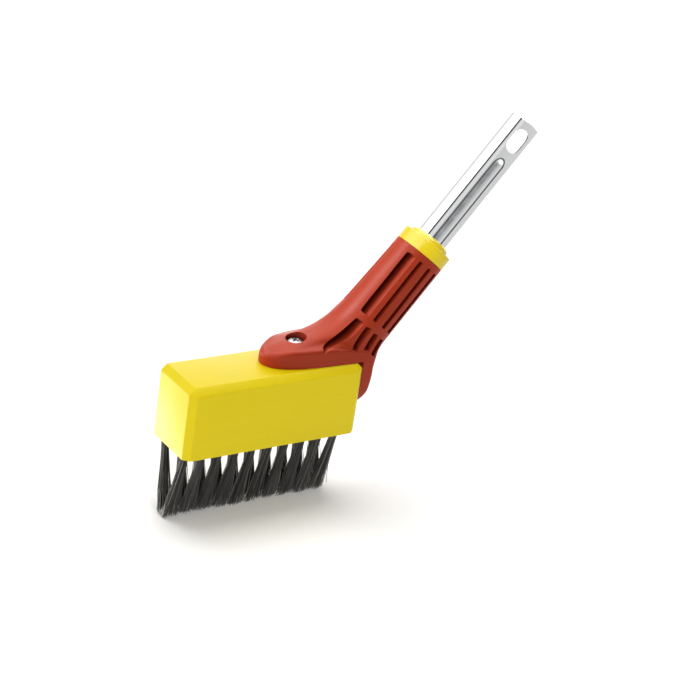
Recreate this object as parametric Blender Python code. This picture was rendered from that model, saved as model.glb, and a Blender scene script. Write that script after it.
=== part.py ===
"""Scraper brush head with a click-in stub.

A lacquered wooden block carries two rows of wire tufts that converge on one
working line. A moulded adapter is screwed to the top and to the end of the
block. A plated steel stub with a pressed flute and a lock hole is fixed in the
adapter's sleeve, and a collar closes the sleeve's mouth.

Everything is modelled in the block's frame (X along the block, towards the
handle, Z up, origin at the middle of the block's lower left edge) and hangs on
one empty, which puts the tips of the bristles on Z = 0.
"""

import math

import bmesh
import bpy
import numpy as np
from mathutils import Matrix, Vector

MM = 0.001
GAP = 0.3 * MM  # kept wherever two pieces touch

# Block
BLOCK_LENGTH = 130.0 * MM
BLOCK_WIDTH = 45.0 * MM
BLOCK_HEIGHT = 50.0 * MM
BLOCK_CHAMFER = 4.2 * MM

# Bristles
TUFTS_PER_ROW = 10
BRISTLE_LENGTH = 50.4 * MM  # from the block's underside to the tips
TUFT_DEPTH = 14.0 * MM
TUFT_RADIUS = 2.5 * MM
TIP_HALF_LENGTH = 4.8 * MM  # half the fan of the tips, along the row
TIP_HALF_WIDTH = 2.65 * MM
ROWS = {
    # name: first root X, pitch, root Y, tip Y, lean of the first and last tip
    "front": (7.3 * MM, 12.72 * MM, -11.0 * MM, -2.95 * MM, -2.3 * MM, -5.0 * MM),
    "back": (4.9 * MM, 12.70 * MM, 12.0 * MM, 2.95 * MM, 0.0, -0.8 * MM),
}
ANCHOR_WIDTH = 6.4 * MM
ANCHOR_HEIGHT = 2.2 * MM
ANCHOR_THICKNESS = 0.5 * MM
ANCHOR_DEPTH = 11.6 * MM  # of its middle, below the block's face

# Stub: its axis starts at the sleeve's mouth
STUB_ANGLE = math.radians(51.33)  # above the block's top face
STUB_TIP = Vector((244.87 * MM, 0.0, 200.82 * MM))
STUB_REACH = 110.8 * MM  # from the sleeve's mouth to the tip
STUB_INSERT = 55.8 * MM  # length inside the sleeve
STUB_RADIUS = 11.0 * MM
STUB_WALL = 1.0 * MM
FLUTE_ANGLE = math.radians(20.5)  # from the side face towards the top
FLUTE_HALF_ANGLE = math.radians(19.5)
FLUTE_DEPTH = 2.0 * MM
FLUTE_END = 29.2 * MM  # from the tip
LOCK_HOLE_CENTRE = 14.3 * MM  # from the tip
LOCK_HOLE_LENGTH = 17.4 * MM
LOCK_HOLE_WIDTH = 12.0 * MM

# Sleeve and adapter
SLEEVE_RADIUS = 18.15 * MM
BORE_RADIUS = STUB_RADIUS + GAP
BORE_DEPTH = 56.1 * MM
COUNTERBORE_RADIUS = 13.3 * MM
COUNTERBORE_DEPTH = 2.8 * MM
FOOT_NOSE_X = 62.2 * MM
HEEL_TIP_Z = 12.0 * MM
FOOT_HEIGHT = (8.5 * MM, 11.3 * MM)  # side wall at the nose and further back
HEEL_THICKNESS = (6.0 * MM, 9.2 * MM)  # at the tip and further up
EDGE_RADIUS = (3.6 * MM, 2.4 * MM)  # at the nose or tip and along the sides
SLEEVE_TAPER = 0.044  # growth of the sleeve's upper half per unit of length
TAPER_START = 8.0 * MM  # from the mouth

# Cored pockets of the sleeve: bands across the axis, towards the top
LONG_POCKETS = (
    # sides, lowest and highest at the mouth, then at the neck, and the
    # distance of the pocket's floor from the middle plane
    ((-1,), (12.3 * MM, 16.4 * MM), (13.9 * MM, 18.0 * MM), 3.0 * MM),
    ((1,), (14.4 * MM, 16.8 * MM), (16.0 * MM, 18.5 * MM), 3.0 * MM),
    ((-1, 1), (6.8 * MM, 9.6 * MM), (7.9 * MM, 10.9 * MM), 11.4 * MM),
    ((-1, 1), (-0.7 * MM, 2.4 * MM), (-0.8 * MM, 2.6 * MM), 12.9 * MM),
    ((-1, 1), (-8.8 * MM, -5.2 * MM), (-9.1 * MM, -5.4 * MM), 11.9 * MM),
    ((-1, 1), (-15.6 * MM, -12.9 * MM), (-15.6 * MM, -12.9 * MM), 3.0 * MM),
)
LONG_POCKET_ENDS = (-53.8 * MM, -4.4 * MM)
POCKET_WEB = 3.0 * MM  # floor of the neck's pockets, from the middle plane

# Screws
FOOT_SCREW = Vector((87.0 * MM, 0.0, 50.0 * MM))
HEEL_SCREW = Vector((130.0 * MM, 0.0, 27.0 * MM))
HEAD_RADIUS = 5.6 * MM
HEAD_HEIGHT = 2.6 * MM
SHANK_RADIUS = 2.4 * MM
RECESS_RADIUS = 6.9 * MM
FOOT_SEAT = 11.0 * MM  # height of the head's seat above the block
HEEL_SEAT = 3.6 * MM

LACQUER = (0.86, 0.72, 0.015)
MOULDED_RED = (0.62, 0.055, 0.025)
COLLAR_YELLOW = (0.86, 0.70, 0.01)
STEEL = (0.80, 0.81, 0.82)
SCREW_ZINC = (0.66, 0.67, 0.68)
BRISTLE_WIRE = (0.035, 0.033, 0.031)
ANCHOR_STEEL = (0.45, 0.44, 0.42)


# --------------------------------------------------------------------------
# Helpers


def clear_scene():
    for obj in list(bpy.data.objects):
        bpy.data.objects.remove(obj, do_unlink=True)


def material(name, colour, roughness, metallic=0.0):
    mat = bpy.data.materials.new(name)
    mat.use_nodes = True
    shader = mat.node_tree.nodes["Principled BSDF"]
    shader.inputs["Base Color"].default_value = (*colour, 1.0)
    shader.inputs["Roughness"].default_value = roughness
    shader.inputs["Metallic"].default_value = metallic
    mat.diffuse_color = (*colour, 1.0)
    return mat


def add_object(name, mesh, parent, mat=None, smooth_angle=None):
    obj = bpy.data.objects.new(name, mesh)
    bpy.context.scene.collection.objects.link(obj)
    obj.parent = parent
    if mat is not None:
        mesh.materials.append(mat)
    if smooth_angle is not None:
        mesh.shade_smooth()
        mesh.set_sharp_from_angle(angle=math.radians(smooth_angle))
    return obj


def mesh_from(name, verts, faces):
    mesh = bpy.data.meshes.new(name)
    mesh.from_pydata([tuple(v) for v in verts], [], [tuple(f) for f in faces])
    return outward(mesh)


def outward(mesh):
    bm = bmesh.new()
    bm.from_mesh(mesh)
    bmesh.ops.recalc_face_normals(bm, faces=bm.faces[:])
    bm.to_mesh(mesh)
    bm.free()
    return mesh


def empty(name, location, rotation=None, parent=None):
    obj = bpy.data.objects.new(name, None)
    obj.empty_display_size = 0.02
    bpy.context.scene.collection.objects.link(obj)
    obj.parent = parent
    obj.location = location
    if rotation is not None:
        obj.rotation_euler = rotation
    return obj


def cut(obj, cutter, name):
    """Leaves a Boolean difference on the object, and hides its cutter."""
    cutter.hide_render = True
    cutter.display_type = "WIRE"
    modifier = obj.modifiers.new(name, "BOOLEAN")
    modifier.operation = "DIFFERENCE"
    modifier.solver = "EXACT"
    modifier.object = cutter


def loft(rings, closed_ends=True):
    """A skin over rings with the same number of points."""
    count = len(rings[0])
    verts = [tuple(p) for ring in rings for p in ring]
    faces = []
    for i in range(len(rings) - 1):
        for j in range(count):
            a, b = i * count + j, i * count + (j + 1) % count
            faces.append((a, b, b + count, a + count))
    if closed_ends:
        faces.append(tuple(range(count)))
        last = (len(rings) - 1) * count
        faces.append(tuple(range(last, last + count)))
    return verts, faces


def turned(profile, steps, axis_matrix=None):
    """A closed ring or solid from (radius, height) points turned about Z.

    A point at radius 0 becomes a pole. The profile runs all the way round its
    own outline, so the result is closed.
    """
    verts, faces, index = [], [], []
    for radius, height in profile:
        if radius <= 1e-9:
            index.append([len(verts)] * steps)
            verts.append((0.0, 0.0, height))
            continue
        start = len(verts)
        for k in range(steps):
            angle = 2 * math.pi * k / steps
            verts.append((radius * math.cos(angle), radius * math.sin(angle), height))
        index.append([start + k for k in range(steps)])
    pairs = list(zip(index, index[1:]))
    if profile[0][0] > 1e-9 or profile[-1][0] > 1e-9:
        pairs.append((index[-1], index[0]))
    for lower, upper in pairs:
        for k in range(steps):
            corners = [lower[k], lower[(k + 1) % steps], upper[(k + 1) % steps], upper[k]]
            face = list(dict.fromkeys(corners))
            if len(face) > 2:
                faces.append(face)
    if axis_matrix is not None:
        verts = [tuple(axis_matrix @ Vector(v)) for v in verts]
    return verts, faces


def merged(groups):
    """Several closed bodies in one list of points and faces."""
    verts, faces = [], []
    for group_verts, group_faces in groups:
        start = len(verts)
        verts += list(group_verts)
        faces += [tuple(start + i for i in face) for face in group_faces]
    return verts, faces


def box(low, high, matrix=None):
    corners = [
        Vector((x, y, z))
        for z in (low[2], high[2])
        for x, y in (
            (low[0], low[1]),
            (high[0], low[1]),
            (high[0], high[1]),
            (low[0], high[1]),
        )
    ]
    if matrix is not None:
        corners = [matrix @ c for c in corners]
    faces = [(3, 2, 1, 0), (4, 5, 6, 7), (0, 1, 5, 4), (1, 2, 6, 5), (2, 3, 7, 6), (3, 0, 4, 7)]
    return [tuple(c) for c in corners], faces


def prism(outline, low_y, high_y):
    """An outline in the XZ plane, pulled along Y."""
    count = len(outline)
    verts = [(x, low_y, z) for x, z in outline] + [(x, high_y, z) for x, z in outline]
    faces = [tuple(range(count)), tuple(range(2 * count - 1, count - 1, -1))]
    for k in range(count):
        n = (k + 1) % count
        faces.append((k, k + count, n + count, n))
    return verts, faces


def smooth_step(x):
    x = min(max(x, 0.0), 1.0)
    return x * x * (3 - 2 * x)


# --------------------------------------------------------------------------
# Frames


def stub_directions():
    along = Vector((math.cos(STUB_ANGLE), 0.0, math.sin(STUB_ANGLE)))
    across = Vector((-math.sin(STUB_ANGLE), 0.0, math.cos(STUB_ANGLE)))
    return along, across


def sleeve_mouth():
    along, _ = stub_directions()
    return STUB_TIP - along * STUB_REACH


# --------------------------------------------------------------------------
# Block, tufts and anchors


def tuft_axis(row, i):
    """Root point on the block's underside, and tip point."""
    first, pitch, root_y, tip_y, lean_first, lean_last = ROWS[row]
    x = first + pitch * i
    lean = lean_first + (lean_last - lean_first) * i / (TUFTS_PER_ROW - 1)
    return Vector((x, root_y, 0.0)), Vector((x + lean, tip_y, -BRISTLE_LENGTH))


def tuft_frame(row, i):
    """Local frame at the root: Z runs into the block, X along the row."""
    root, tip = tuft_axis(row, i)
    z = (root - tip).normalized()
    y = z.cross(Vector((1.0, 0.0, 0.0))).normalized()
    x = y.cross(z)
    matrix = Matrix((x, y, z)).transposed().to_4x4()
    matrix.translation = root
    return matrix


def make_block(frame, mat):
    bm = bmesh.new()
    bmesh.ops.create_cube(bm, size=1.0)
    bmesh.ops.scale(bm, vec=(BLOCK_LENGTH, BLOCK_WIDTH, BLOCK_HEIGHT), verts=bm.verts[:])
    bmesh.ops.translate(bm, vec=(BLOCK_LENGTH / 2, 0.0, BLOCK_HEIGHT / 2), verts=bm.verts[:])
    low = [e for e in bm.edges if all(v.co.z < 1e-6 for v in e.verts)]
    edges = [e for e in bm.edges if e not in low]
    bmesh.ops.bevel(
        bm, geom=edges, offset=BLOCK_CHAMFER, segments=1, profile=0.5, affect="EDGES"
    )
    mesh = bpy.data.meshes.new("brush_block")
    bm.to_mesh(mesh)
    bm.free()
    block = add_object("brush_block", outward(mesh), frame, mat)

    holes, slits = [], []
    for row in ROWS:
        for i in range(TUFTS_PER_ROW):
            matrix = tuft_frame(row, i)
            radius = TUFT_RADIUS + GAP
            holes.append(
                turned(
                    [
                        (0.0, -6 * MM),
                        (radius, -6 * MM),
                        (radius, TUFT_DEPTH + GAP),
                        (0.0, TUFT_DEPTH + GAP),
                    ],
                    12,
                    matrix,
                )
            )
            half = ANCHOR_WIDTH / 2 + GAP
            thick = ANCHOR_THICKNESS / 2 + GAP
            tall = ANCHOR_HEIGHT / 2 + GAP
            slits.append(
                box(
                    (-half, -thick, ANCHOR_DEPTH - tall),
                    (half, thick, ANCHOR_DEPTH + tall),
                    matrix,
                )
            )
    cut(block, add_object("cut_tuft_holes", mesh_from("cut_tuft_holes", *merged(holes)), frame), "tuft holes")
    cut(block, add_object("cut_anchor_slits", mesh_from("cut_anchor_slits", *merged(slits)), frame), "anchor slits")

    pilot = SHANK_RADIUS + GAP
    down = Matrix.Translation(FOOT_SCREW)
    foot = turned([(0.0, -33 * MM), (pilot, -30 * MM), (pilot, 5 * MM), (0.0, 5 * MM)], 16, down)
    sideways = Matrix.Translation(HEEL_SCREW) @ Matrix.Rotation(math.pi / 2, 4, "Y")
    heel = turned([(0.0, -31 * MM), (pilot, -28 * MM), (pilot, 5 * MM), (0.0, 5 * MM)], 16, sideways)
    cut(block, add_object("cut_pilot_holes", mesh_from("cut_pilot_holes", *merged([foot, heel])), frame), "pilot holes")
    return block


def make_tuft(name, row, i, frame, mat):
    root, tip = tuft_axis(row, i)
    matrix = tuft_frame(row, i)
    steps = 12
    rings = []
    for depth, radius in ((TUFT_DEPTH, TUFT_RADIUS), (0.0, TUFT_RADIUS)):
        ring = []
        for k in range(steps):
            angle = 2 * math.pi * k / steps
            ring.append(matrix @ Vector((radius * math.cos(angle), radius * math.sin(angle), depth)))
        rings.append(ring)
    for part, half_x, half_y in ((0.4, 0.68, 0.97), (1.0, 1.0, 1.0)):
        centre = root.lerp(tip, part)
        ring = []
        for k in range(steps):
            angle = 2 * math.pi * k / steps
            ring.append(
                centre
                + Vector(
                    (
                        half_x * TIP_HALF_LENGTH * math.cos(angle),
                        half_y * TIP_HALF_WIDTH * math.sin(angle),
                        0.0,
                    )
                )
            )
        rings.append(ring)
    tuft = add_object(name, mesh_from(name, *loft(rings)), frame, mat, 40)
    thick = ANCHOR_THICKNESS / 2 + GAP
    tall = ANCHOR_HEIGHT / 2 + GAP
    slot = box((-5 * MM, -thick, ANCHOR_DEPTH - tall), (5 * MM, thick, ANCHOR_DEPTH + tall), matrix)
    cut(tuft, add_object("cut_" + name, mesh_from("cut_" + name, *slot), frame), "fold round the anchor")
    return tuft


def make_anchor(name, row, i, frame, mat):
    half, thick, tall = ANCHOR_WIDTH / 2, ANCHOR_THICKNESS / 2, ANCHOR_HEIGHT / 2
    plate = box(
        (-half, -thick, ANCHOR_DEPTH - tall),
        (half, thick, ANCHOR_DEPTH + tall),
        tuft_frame(row, i),
    )
    return add_object(name, mesh_from(name, *plate), frame, mat)


# --------------------------------------------------------------------------
# Adapter: a skin lofted from the round sleeve to the outline of foot and heel

CORNER_X = BLOCK_LENGTH + GAP
CORNER_Z = BLOCK_HEIGHT + GAP
CORNER_TURN = math.radians(100)  # the part of the outline that belongs to the foot


def foot_half_width(u):
    """Half width of the foot, u behind its nose."""
    u = max(u, 0.0) / MM
    return 20 * math.tanh(math.sqrt(20.5 * u) / 20) * MM


def heel_half_width(u):
    """Half width of the heel, u above its tip."""
    full = (CORNER_Z - HEEL_TIP_Z) / MM
    u = max(u, 0.0) / MM
    share = math.tanh(math.sqrt(27 * u) / 20) / math.tanh(math.sqrt(27 * full) / 20)
    return foot_half_width(CORNER_X - FOOT_NOSE_X) * share


def outline_table(half_width, length, count=400):
    u = np.linspace(0.0, 1.0, count) ** 2 * length
    y = np.array([half_width(value) for value in u])
    run = np.concatenate(([0.0], np.cumsum(np.hypot(np.diff(u), np.diff(y)))))
    return u, y, run / run[-1]


def outline_point(table, share):
    """Point and direction at this share of the outline's length."""
    u, y, run = table
    du = np.interp(min(share + 0.02, 1), run, u) - np.interp(max(share - 0.02, 0), run, u)
    dy = np.interp(min(share + 0.02, 1), run, y) - np.interp(max(share - 0.02, 0), run, y)
    size = math.hypot(du, dy)
    if share <= 0:
        du, dy, size = 0.0, 1.0, 1.0
    return np.interp(share, run, u), np.interp(share, run, y), du / size, dy / size


def adapter_line(turn, foot_table, heel_table, neck_steps, round_steps):
    """One line of the skin, from the sleeve's mouth to the block.

    turn is the angle round the sleeve, 0 at its top and pi underneath.
    """
    along, across = (np.array(v) for v in stub_directions())
    mouth = np.array(sleeve_mouth())
    full_heel = CORNER_Z - HEEL_TIP_Z
    on_foot = turn <= CORNER_TURN + 1e-9
    if on_foot:
        u, y, du, dy = outline_point(foot_table, (turn / CORNER_TURN) ** 1.35)
        contact = np.array([FOOT_NOSE_X + u, y, CORNER_Z])
        inward = np.array([dy, -du, 0.0])
        # 0 on the foot itself, 1 on the flank over the block's corner
        flank = smooth_step((u - 34 * MM) / (CORNER_X - FOOT_NOSE_X - 34 * MM))
        height = FOOT_HEIGHT[0] + (FOOT_HEIGHT[1] - FOOT_HEIGHT[0]) * smooth_step(u / (17 * MM))
        wall = np.array([0.66 * flank, 0.0, 1 - 0.34 * flank])
    else:
        u, y, du, dy = outline_point(
            heel_table, ((math.pi - turn) / (math.pi - CORNER_TURN)) ** 1.25
        )
        contact = np.array([CORNER_X, y, HEEL_TIP_Z + u])
        inward = np.array([0.0, -du, dy])
        flank = smooth_step((u - 22 * MM) / (full_heel - 22 * MM))
        height = HEEL_THICKNESS[0] + (HEEL_THICKNESS[1] - HEEL_THICKNESS[0]) * smooth_step(
            u / (14 * MM)
        )
        wall = np.array([1 - 0.34 * flank, 0.0, 0.66 * flank])
    wall /= np.linalg.norm(wall)
    height = height * (1 - flank) + 9.0 * MM * flank
    side = smooth_step(u / ((17 if on_foot else 14) * MM))
    radius = EDGE_RADIUS[0] + (EDGE_RADIUS[1] - EDGE_RADIUS[0]) * side
    radius = radius * (1 - flank) + 0.15 * MM * flank
    crown = 0.8 * MM * (1 - flank)

    radial = math.cos(turn) * across + math.sin(turn) * np.array([0.0, 1.0, 0.0])
    taper = SLEEVE_TAPER * (1 - smooth_step((math.degrees(turn) - 50) / 60))
    neck = (-54 + 6 * math.cos(turn)) * MM
    start = mouth + neck * along + (SLEEVE_RADIUS - taper * (neck + TAPER_START)) * radial
    edge = contact + wall * height
    end = edge + inward * radius + wall * crown
    reach = np.linalg.norm(start - end)
    up_flank = np.array([0.6, 0.0, 0.8])
    if on_foot:
        back = smooth_step(u / (25 * MM))
        leave = np.array([0.88, 0.0, 0.475]) * (1 - back) + np.array([0.99, 0.0, 0.12]) * back
        leave = leave * (1 - flank) + up_flank * flank
        leave = leave + np.array([0.0, inward[1] * 0.35 * (1 - flank), 0.0])
        shoulder = smooth_step(math.degrees(turn) / 45)
        pull_start = (0.565 - 0.10 * shoulder) * (1 - flank) + 0.33 * flank
        pull_end = (0.30 + 0.04 * shoulder) * (1 - flank) + 0.33 * flank
        spread = 1 + 0.06 * (1 - flank)
    else:
        leave = np.array([0.04, 0.0, 1.0]) * (1 - flank) + up_flank * flank
        pull_start = 0.34 * (1 - flank) + 0.33 * flank
        pull_end = 0.42 * (1 - flank) + 0.33 * flank
        spread = 1.0
    leave /= np.linalg.norm(leave)
    first = start + (radial * taper - along) * pull_start * reach
    first = first * np.array([1.0, spread, 1.0])
    second = end + leave * pull_end * reach

    points = [mouth + SLEEVE_RADIUS * radial]
    points.append(mouth - TAPER_START * along + SLEEVE_RADIUS * radial)
    for k in range(neck_steps + 1):
        v = k / neck_steps
        points.append(
            (1 - v) ** 3 * start
            + 3 * (1 - v) ** 2 * v * first
            + 3 * (1 - v) * v**2 * second
            + v**3 * end
        )
    centre = edge + inward * radius - wall * radius
    for k in range(1, round_steps + 1):
        a = math.pi / 2 * k / round_steps
        points.append(
            centre + wall * (radius + crown) * math.cos(a) - inward * radius * math.sin(a)
        )
    points.append(contact)
    return points


def adapter_skin(half_steps=18, neck_steps=8, round_steps=2):
    foot_table = outline_table(foot_half_width, CORNER_X - FOOT_NOSE_X)
    heel_table = outline_table(heel_half_width, CORNER_Z - HEEL_TIP_Z)
    turns = [math.pi * k / half_steps for k in range(half_steps + 1)]
    lines = [adapter_line(t, foot_table, heel_table, neck_steps, round_steps) for t in turns]
    count = len(lines[0])
    for point in lines[0] + lines[-1]:
        point[1] = 0.0
    ring = 2 * half_steps
    verts = []
    for m in range(count):
        for k in range(half_steps + 1):
            verts.append(tuple(lines[k][m]))
        for k in range(half_steps - 1, 0, -1):
            x, y, z = lines[k][m]
            verts.append((x, -y, z))
    faces = [tuple(range(ring))]
    for m in range(count - 1):
        for j in range(ring):
            a, b = m * ring + j, m * ring + (j + 1) % ring
            faces.append((a, b, b + ring, a + ring))
    # The last ring lies on the block's top and on its end: two flat faces.
    last = (count - 1) * ring
    corner = turns.index(min(turns, key=lambda t: abs(t - CORNER_TURN)))
    foot = list(range(0, corner + 1)) + list(range(ring - corner, ring))
    heel = list(range(corner, ring - corner + 1))
    faces.append(tuple(last + k for k in foot))
    faces.append(tuple(last + k for k in heel))
    return verts, faces


def curve_points(points, count):
    """A smooth curve through a few points (Catmull-Rom)."""
    pts = [np.array(p, float) for p in points]
    pts = [2 * pts[0] - pts[1]] + pts + [2 * pts[-1] - pts[-2]]
    spans = len(pts) - 3
    out = []
    for k in range(count + 1):
        s = k / count * spans
        i = min(int(s), spans - 1)
        t = s - i
        p0, p1, p2, p3 = pts[i : i + 4]
        out.append(
            0.5
            * (
                2 * p1
                + (p2 - p0) * t
                + (2 * p0 - 5 * p1 + 4 * p2 - p3) * t**2
                + (3 * p1 - p0 - 3 * p2 + p3) * t**3
            )
        )
    return out


def neck_pocket_outlines(side):
    """Side-view outlines of the four pockets in the neck, in metres."""
    upper = ((124.8, 79.4), (114.6, 71.7), (98.5, 62.2))
    lower = ((128.2, 76.8), (116.6, 66.2), (97.9, 59.8))
    if side > 0:
        # The far side's upper pocket is narrower: the outline of the neck
        # runs just under it.
        lower = tuple((0.6 * a + 0.4 * c, 0.6 * b + 0.4 * d) for (a, b), (c, d) in zip(upper, lower))
    slots = (
        # upper lip and lower lip, from the sleeve's end down
        (upper, lower),
        (((129.1, 75.0), (124.7, 69.1), (120.3, 59.8)), ((132.9, 73.6), (129.2, 67.0), (124.2, 58.3))),
        (((134.6, 70.4), (131.5, 64.2), (128.8, 58.8)), ((138.8, 68.2), (136.3, 63.1), (132.9, 57.6))),
        (((141.0, 65.4), (137.4, 60.4), (134.6, 55.0)), ((145.1, 62.6), (140.9, 57.5), (138.2, 52.4))),
    )
    outlines = []
    for number, (upper, lower) in enumerate(slots):
        count = 6 if number == 0 else 3
        up = curve_points(upper, count)
        down = curve_points(lower, count)
        outlines.append([(p[0] * MM, p[1] * MM) for p in up + down[::-1]])
    return outlines


def make_adapter(frame, stub_frame, mat):
    adapter = add_object(
        "handle_adapter", mesh_from("handle_adapter", *adapter_skin()), frame, mat, 35
    )

    bore = turned(
        [
            (0.0, 5 * MM),
            (COUNTERBORE_RADIUS, 5 * MM),
            (COUNTERBORE_RADIUS, -COUNTERBORE_DEPTH),
            (BORE_RADIUS, -COUNTERBORE_DEPTH),
            (BORE_RADIUS, -BORE_DEPTH),
            (0.0, -BORE_DEPTH),
        ],
        32,
    )
    cut(adapter, add_object("cut_bore", mesh_from("cut_bore", *bore), stub_frame), "bore")

    pockets = []
    for sides, at_mouth, at_neck, floor in LONG_POCKETS:
        outline = [
            (-at_mouth[0], LONG_POCKET_ENDS[1]),
            (-at_mouth[1], LONG_POCKET_ENDS[1]),
            (-at_neck[1], LONG_POCKET_ENDS[0]),
            (-at_neck[0], LONG_POCKET_ENDS[0]),
        ]
        for side in sides:
            pockets.append(prism(outline, *sorted((side * floor, side * 25 * MM))))
    cut(adapter, add_object("cut_long_pockets", mesh_from("cut_long_pockets", *merged(pockets)), stub_frame), "long pockets")

    pockets = []
    for side in (-1, 1):
        for outline in neck_pocket_outlines(side):
            pockets.append(prism(outline, *sorted((side * POCKET_WEB, side * 25 * MM))))
    cut(adapter, add_object("cut_neck_pockets", mesh_from("cut_neck_pockets", *merged(pockets)), frame), "neck pockets")

    clear = SHANK_RADIUS + GAP
    down = Matrix.Translation(FOOT_SCREW)
    foot = turned(
        [
            (0.0, -3 * MM),
            (clear, -3 * MM),
            (clear, FOOT_SEAT - GAP),
            (RECESS_RADIUS, FOOT_SEAT - GAP),
            (RECESS_RADIUS, 30 * MM),
            (0.0, 30 * MM),
        ],
        24,
        down,
    )
    sideways = Matrix.Translation(HEEL_SCREW) @ Matrix.Rotation(math.pi / 2, 4, "Y")
    heel = turned(
        [
            (0.0, -3 * MM),
            (clear, -3 * MM),
            (clear, HEEL_SEAT - GAP),
            (RECESS_RADIUS, HEEL_SEAT - GAP),
            (RECESS_RADIUS, 20 * MM),
            (0.0, 20 * MM),
        ],
        24,
        sideways,
    )
    cut(adapter, add_object("cut_screw_seats", mesh_from("cut_screw_seats", *merged([foot, heel])), frame), "screw seats")
    return adapter


# --------------------------------------------------------------------------
# Stub, collar and screws


def make_stub(stub_frame, mat):
    """Tube with a pressed flute, its axis along local Z.

    Angles are counted from local -Y (the side face) towards local -X (the top).
    """
    flute = [-1.0, -0.92, -0.7, -0.35, 0.0, 0.35, 0.7, 0.92, 1.0]
    angles = [FLUTE_ANGLE + f * FLUTE_HALF_ANGLE for f in flute]
    rest = 2 * math.pi - 2 * FLUTE_HALF_ANGLE
    plain = 26
    angles += [FLUTE_ANGLE + FLUTE_HALF_ANGLE + rest * k / plain for k in range(1, plain)]

    end = STUB_REACH - FLUTE_END
    stations = [
        (-STUB_INSERT, 1.0),
        (end - 5.0 * MM, 1.0),
        (end - 3.2 * MM, 0.86),
        (end - 1.4 * MM, 0.5),
        (end, 0.0),
        (STUB_REACH, 0.0),
    ]

    def ring(height, share, wall):
        points = []
        for angle in angles:
            off = (angle - FLUTE_ANGLE) / FLUTE_HALF_ANGLE
            depth = FLUTE_DEPTH * share * math.sqrt(max(0.0, 1 - off * off)) if abs(off) < 1 else 0.0
            r = STUB_RADIUS - depth - wall
            points.append((-r * math.sin(angle), -r * math.cos(angle), height))
        return points

    outer = [ring(h, s, 0.0) for h, s in stations]
    inner = [ring(h, s, STUB_WALL) for h, s in reversed(stations)]
    rings = outer + inner
    count = len(angles)
    verts = [p for r in rings for p in r]
    faces = []
    for i in range(len(rings)):
        j = (i + 1) % len(rings)
        for k in range(count):
            n = (k + 1) % count
            faces.append((i * count + k, i * count + n, j * count + n, j * count + k))
    stub = add_object("spigot_tube", mesh_from("spigot_tube", verts, faces), stub_frame, mat, 30)

    half = LOCK_HOLE_LENGTH / 2 - LOCK_HOLE_WIDTH / 2
    outline = []
    for k in range(9):
        a = math.pi * k / 8
        outline.append((math.cos(a) * LOCK_HOLE_WIDTH / 2, half + math.sin(a) * LOCK_HOLE_WIDTH / 2))
    for k in range(9):
        a = math.pi + math.pi * k / 8
        outline.append((math.cos(a) * LOCK_HOLE_WIDTH / 2, -half + math.sin(a) * LOCK_HOLE_WIDTH / 2))
    hole = prism(outline, -16 * MM, 16 * MM)
    cutter = add_object("cut_lock_hole", mesh_from("cut_lock_hole", *hole), stub_frame)
    cutter.location = (0.0, 0.0, STUB_REACH - LOCK_HOLE_CENTRE)
    cutter.rotation_euler = (0.0, 0.0, -FLUTE_ANGLE)
    cut(stub, cutter, "lock hole")
    return stub


def make_collar(stub_frame, mat):
    profile = [
        (STUB_RADIUS + GAP, -2.4 * MM),
        (13.0 * MM, -2.4 * MM),
        (13.0 * MM, GAP),
        (SLEEVE_RADIUS, GAP),
        (SLEEVE_RADIUS, 8.75 * MM),
        (17.65 * MM, 9.25 * MM),
        (14.3 * MM, 9.25 * MM),
        (14.1 * MM, 10.9 * MM),
        (13.2 * MM, 12.3 * MM),
        (12.2 * MM, 12.9 * MM),
        (STUB_RADIUS + GAP, 12.9 * MM),
    ]
    return add_object("collar", mesh_from("collar", *turned(profile, 40)), stub_frame, mat, 30)


def make_screw(name, frame, place, seat, length, mat):
    """Domed cross-recess screw, its head on local +Z."""
    profile = [
        (0.0, -length),
        (SHANK_RADIUS * 0.35, -length + 1.0 * MM),
        (SHANK_RADIUS, -length + 5.0 * MM),
        (SHANK_RADIUS, 0.0),
        (HEAD_RADIUS, 0.0),
        (HEAD_RADIUS, 0.8 * MM),
        (HEAD_RADIUS * 0.86, 1.7 * MM),
        (HEAD_RADIUS * 0.55, 2.35 * MM),
        (0.0, HEAD_HEIGHT),
    ]
    matrix = place @ Matrix.Translation((0.0, 0.0, seat))
    screw = add_object(name, mesh_from(name, *turned(profile, 20, matrix)), frame, mat, 40)
    arm, half = 3.0 * MM, 0.6 * MM
    cross = [
        (arm, -half), (arm, half), (half, half), (half, arm), (-half, arm), (-half, half),
        (-arm, half), (-arm, -half), (-half, -half), (-half, -arm), (half, -arm), (half, -half),
    ]
    rings = []
    for height, share in ((1.0 * MM, 0.55), (HEAD_HEIGHT + 1.0 * MM, 1.0)):
        rings.append([matrix @ Vector((x * share if abs(x) > half else x, y * share if abs(y) > half else y, height)) for x, y in cross])
    cutter = add_object("cut_" + name, mesh_from("cut_" + name, *loft(rings)), frame)
    cut(screw, cutter, "cross recess")
    return screw


# --------------------------------------------------------------------------


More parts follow.
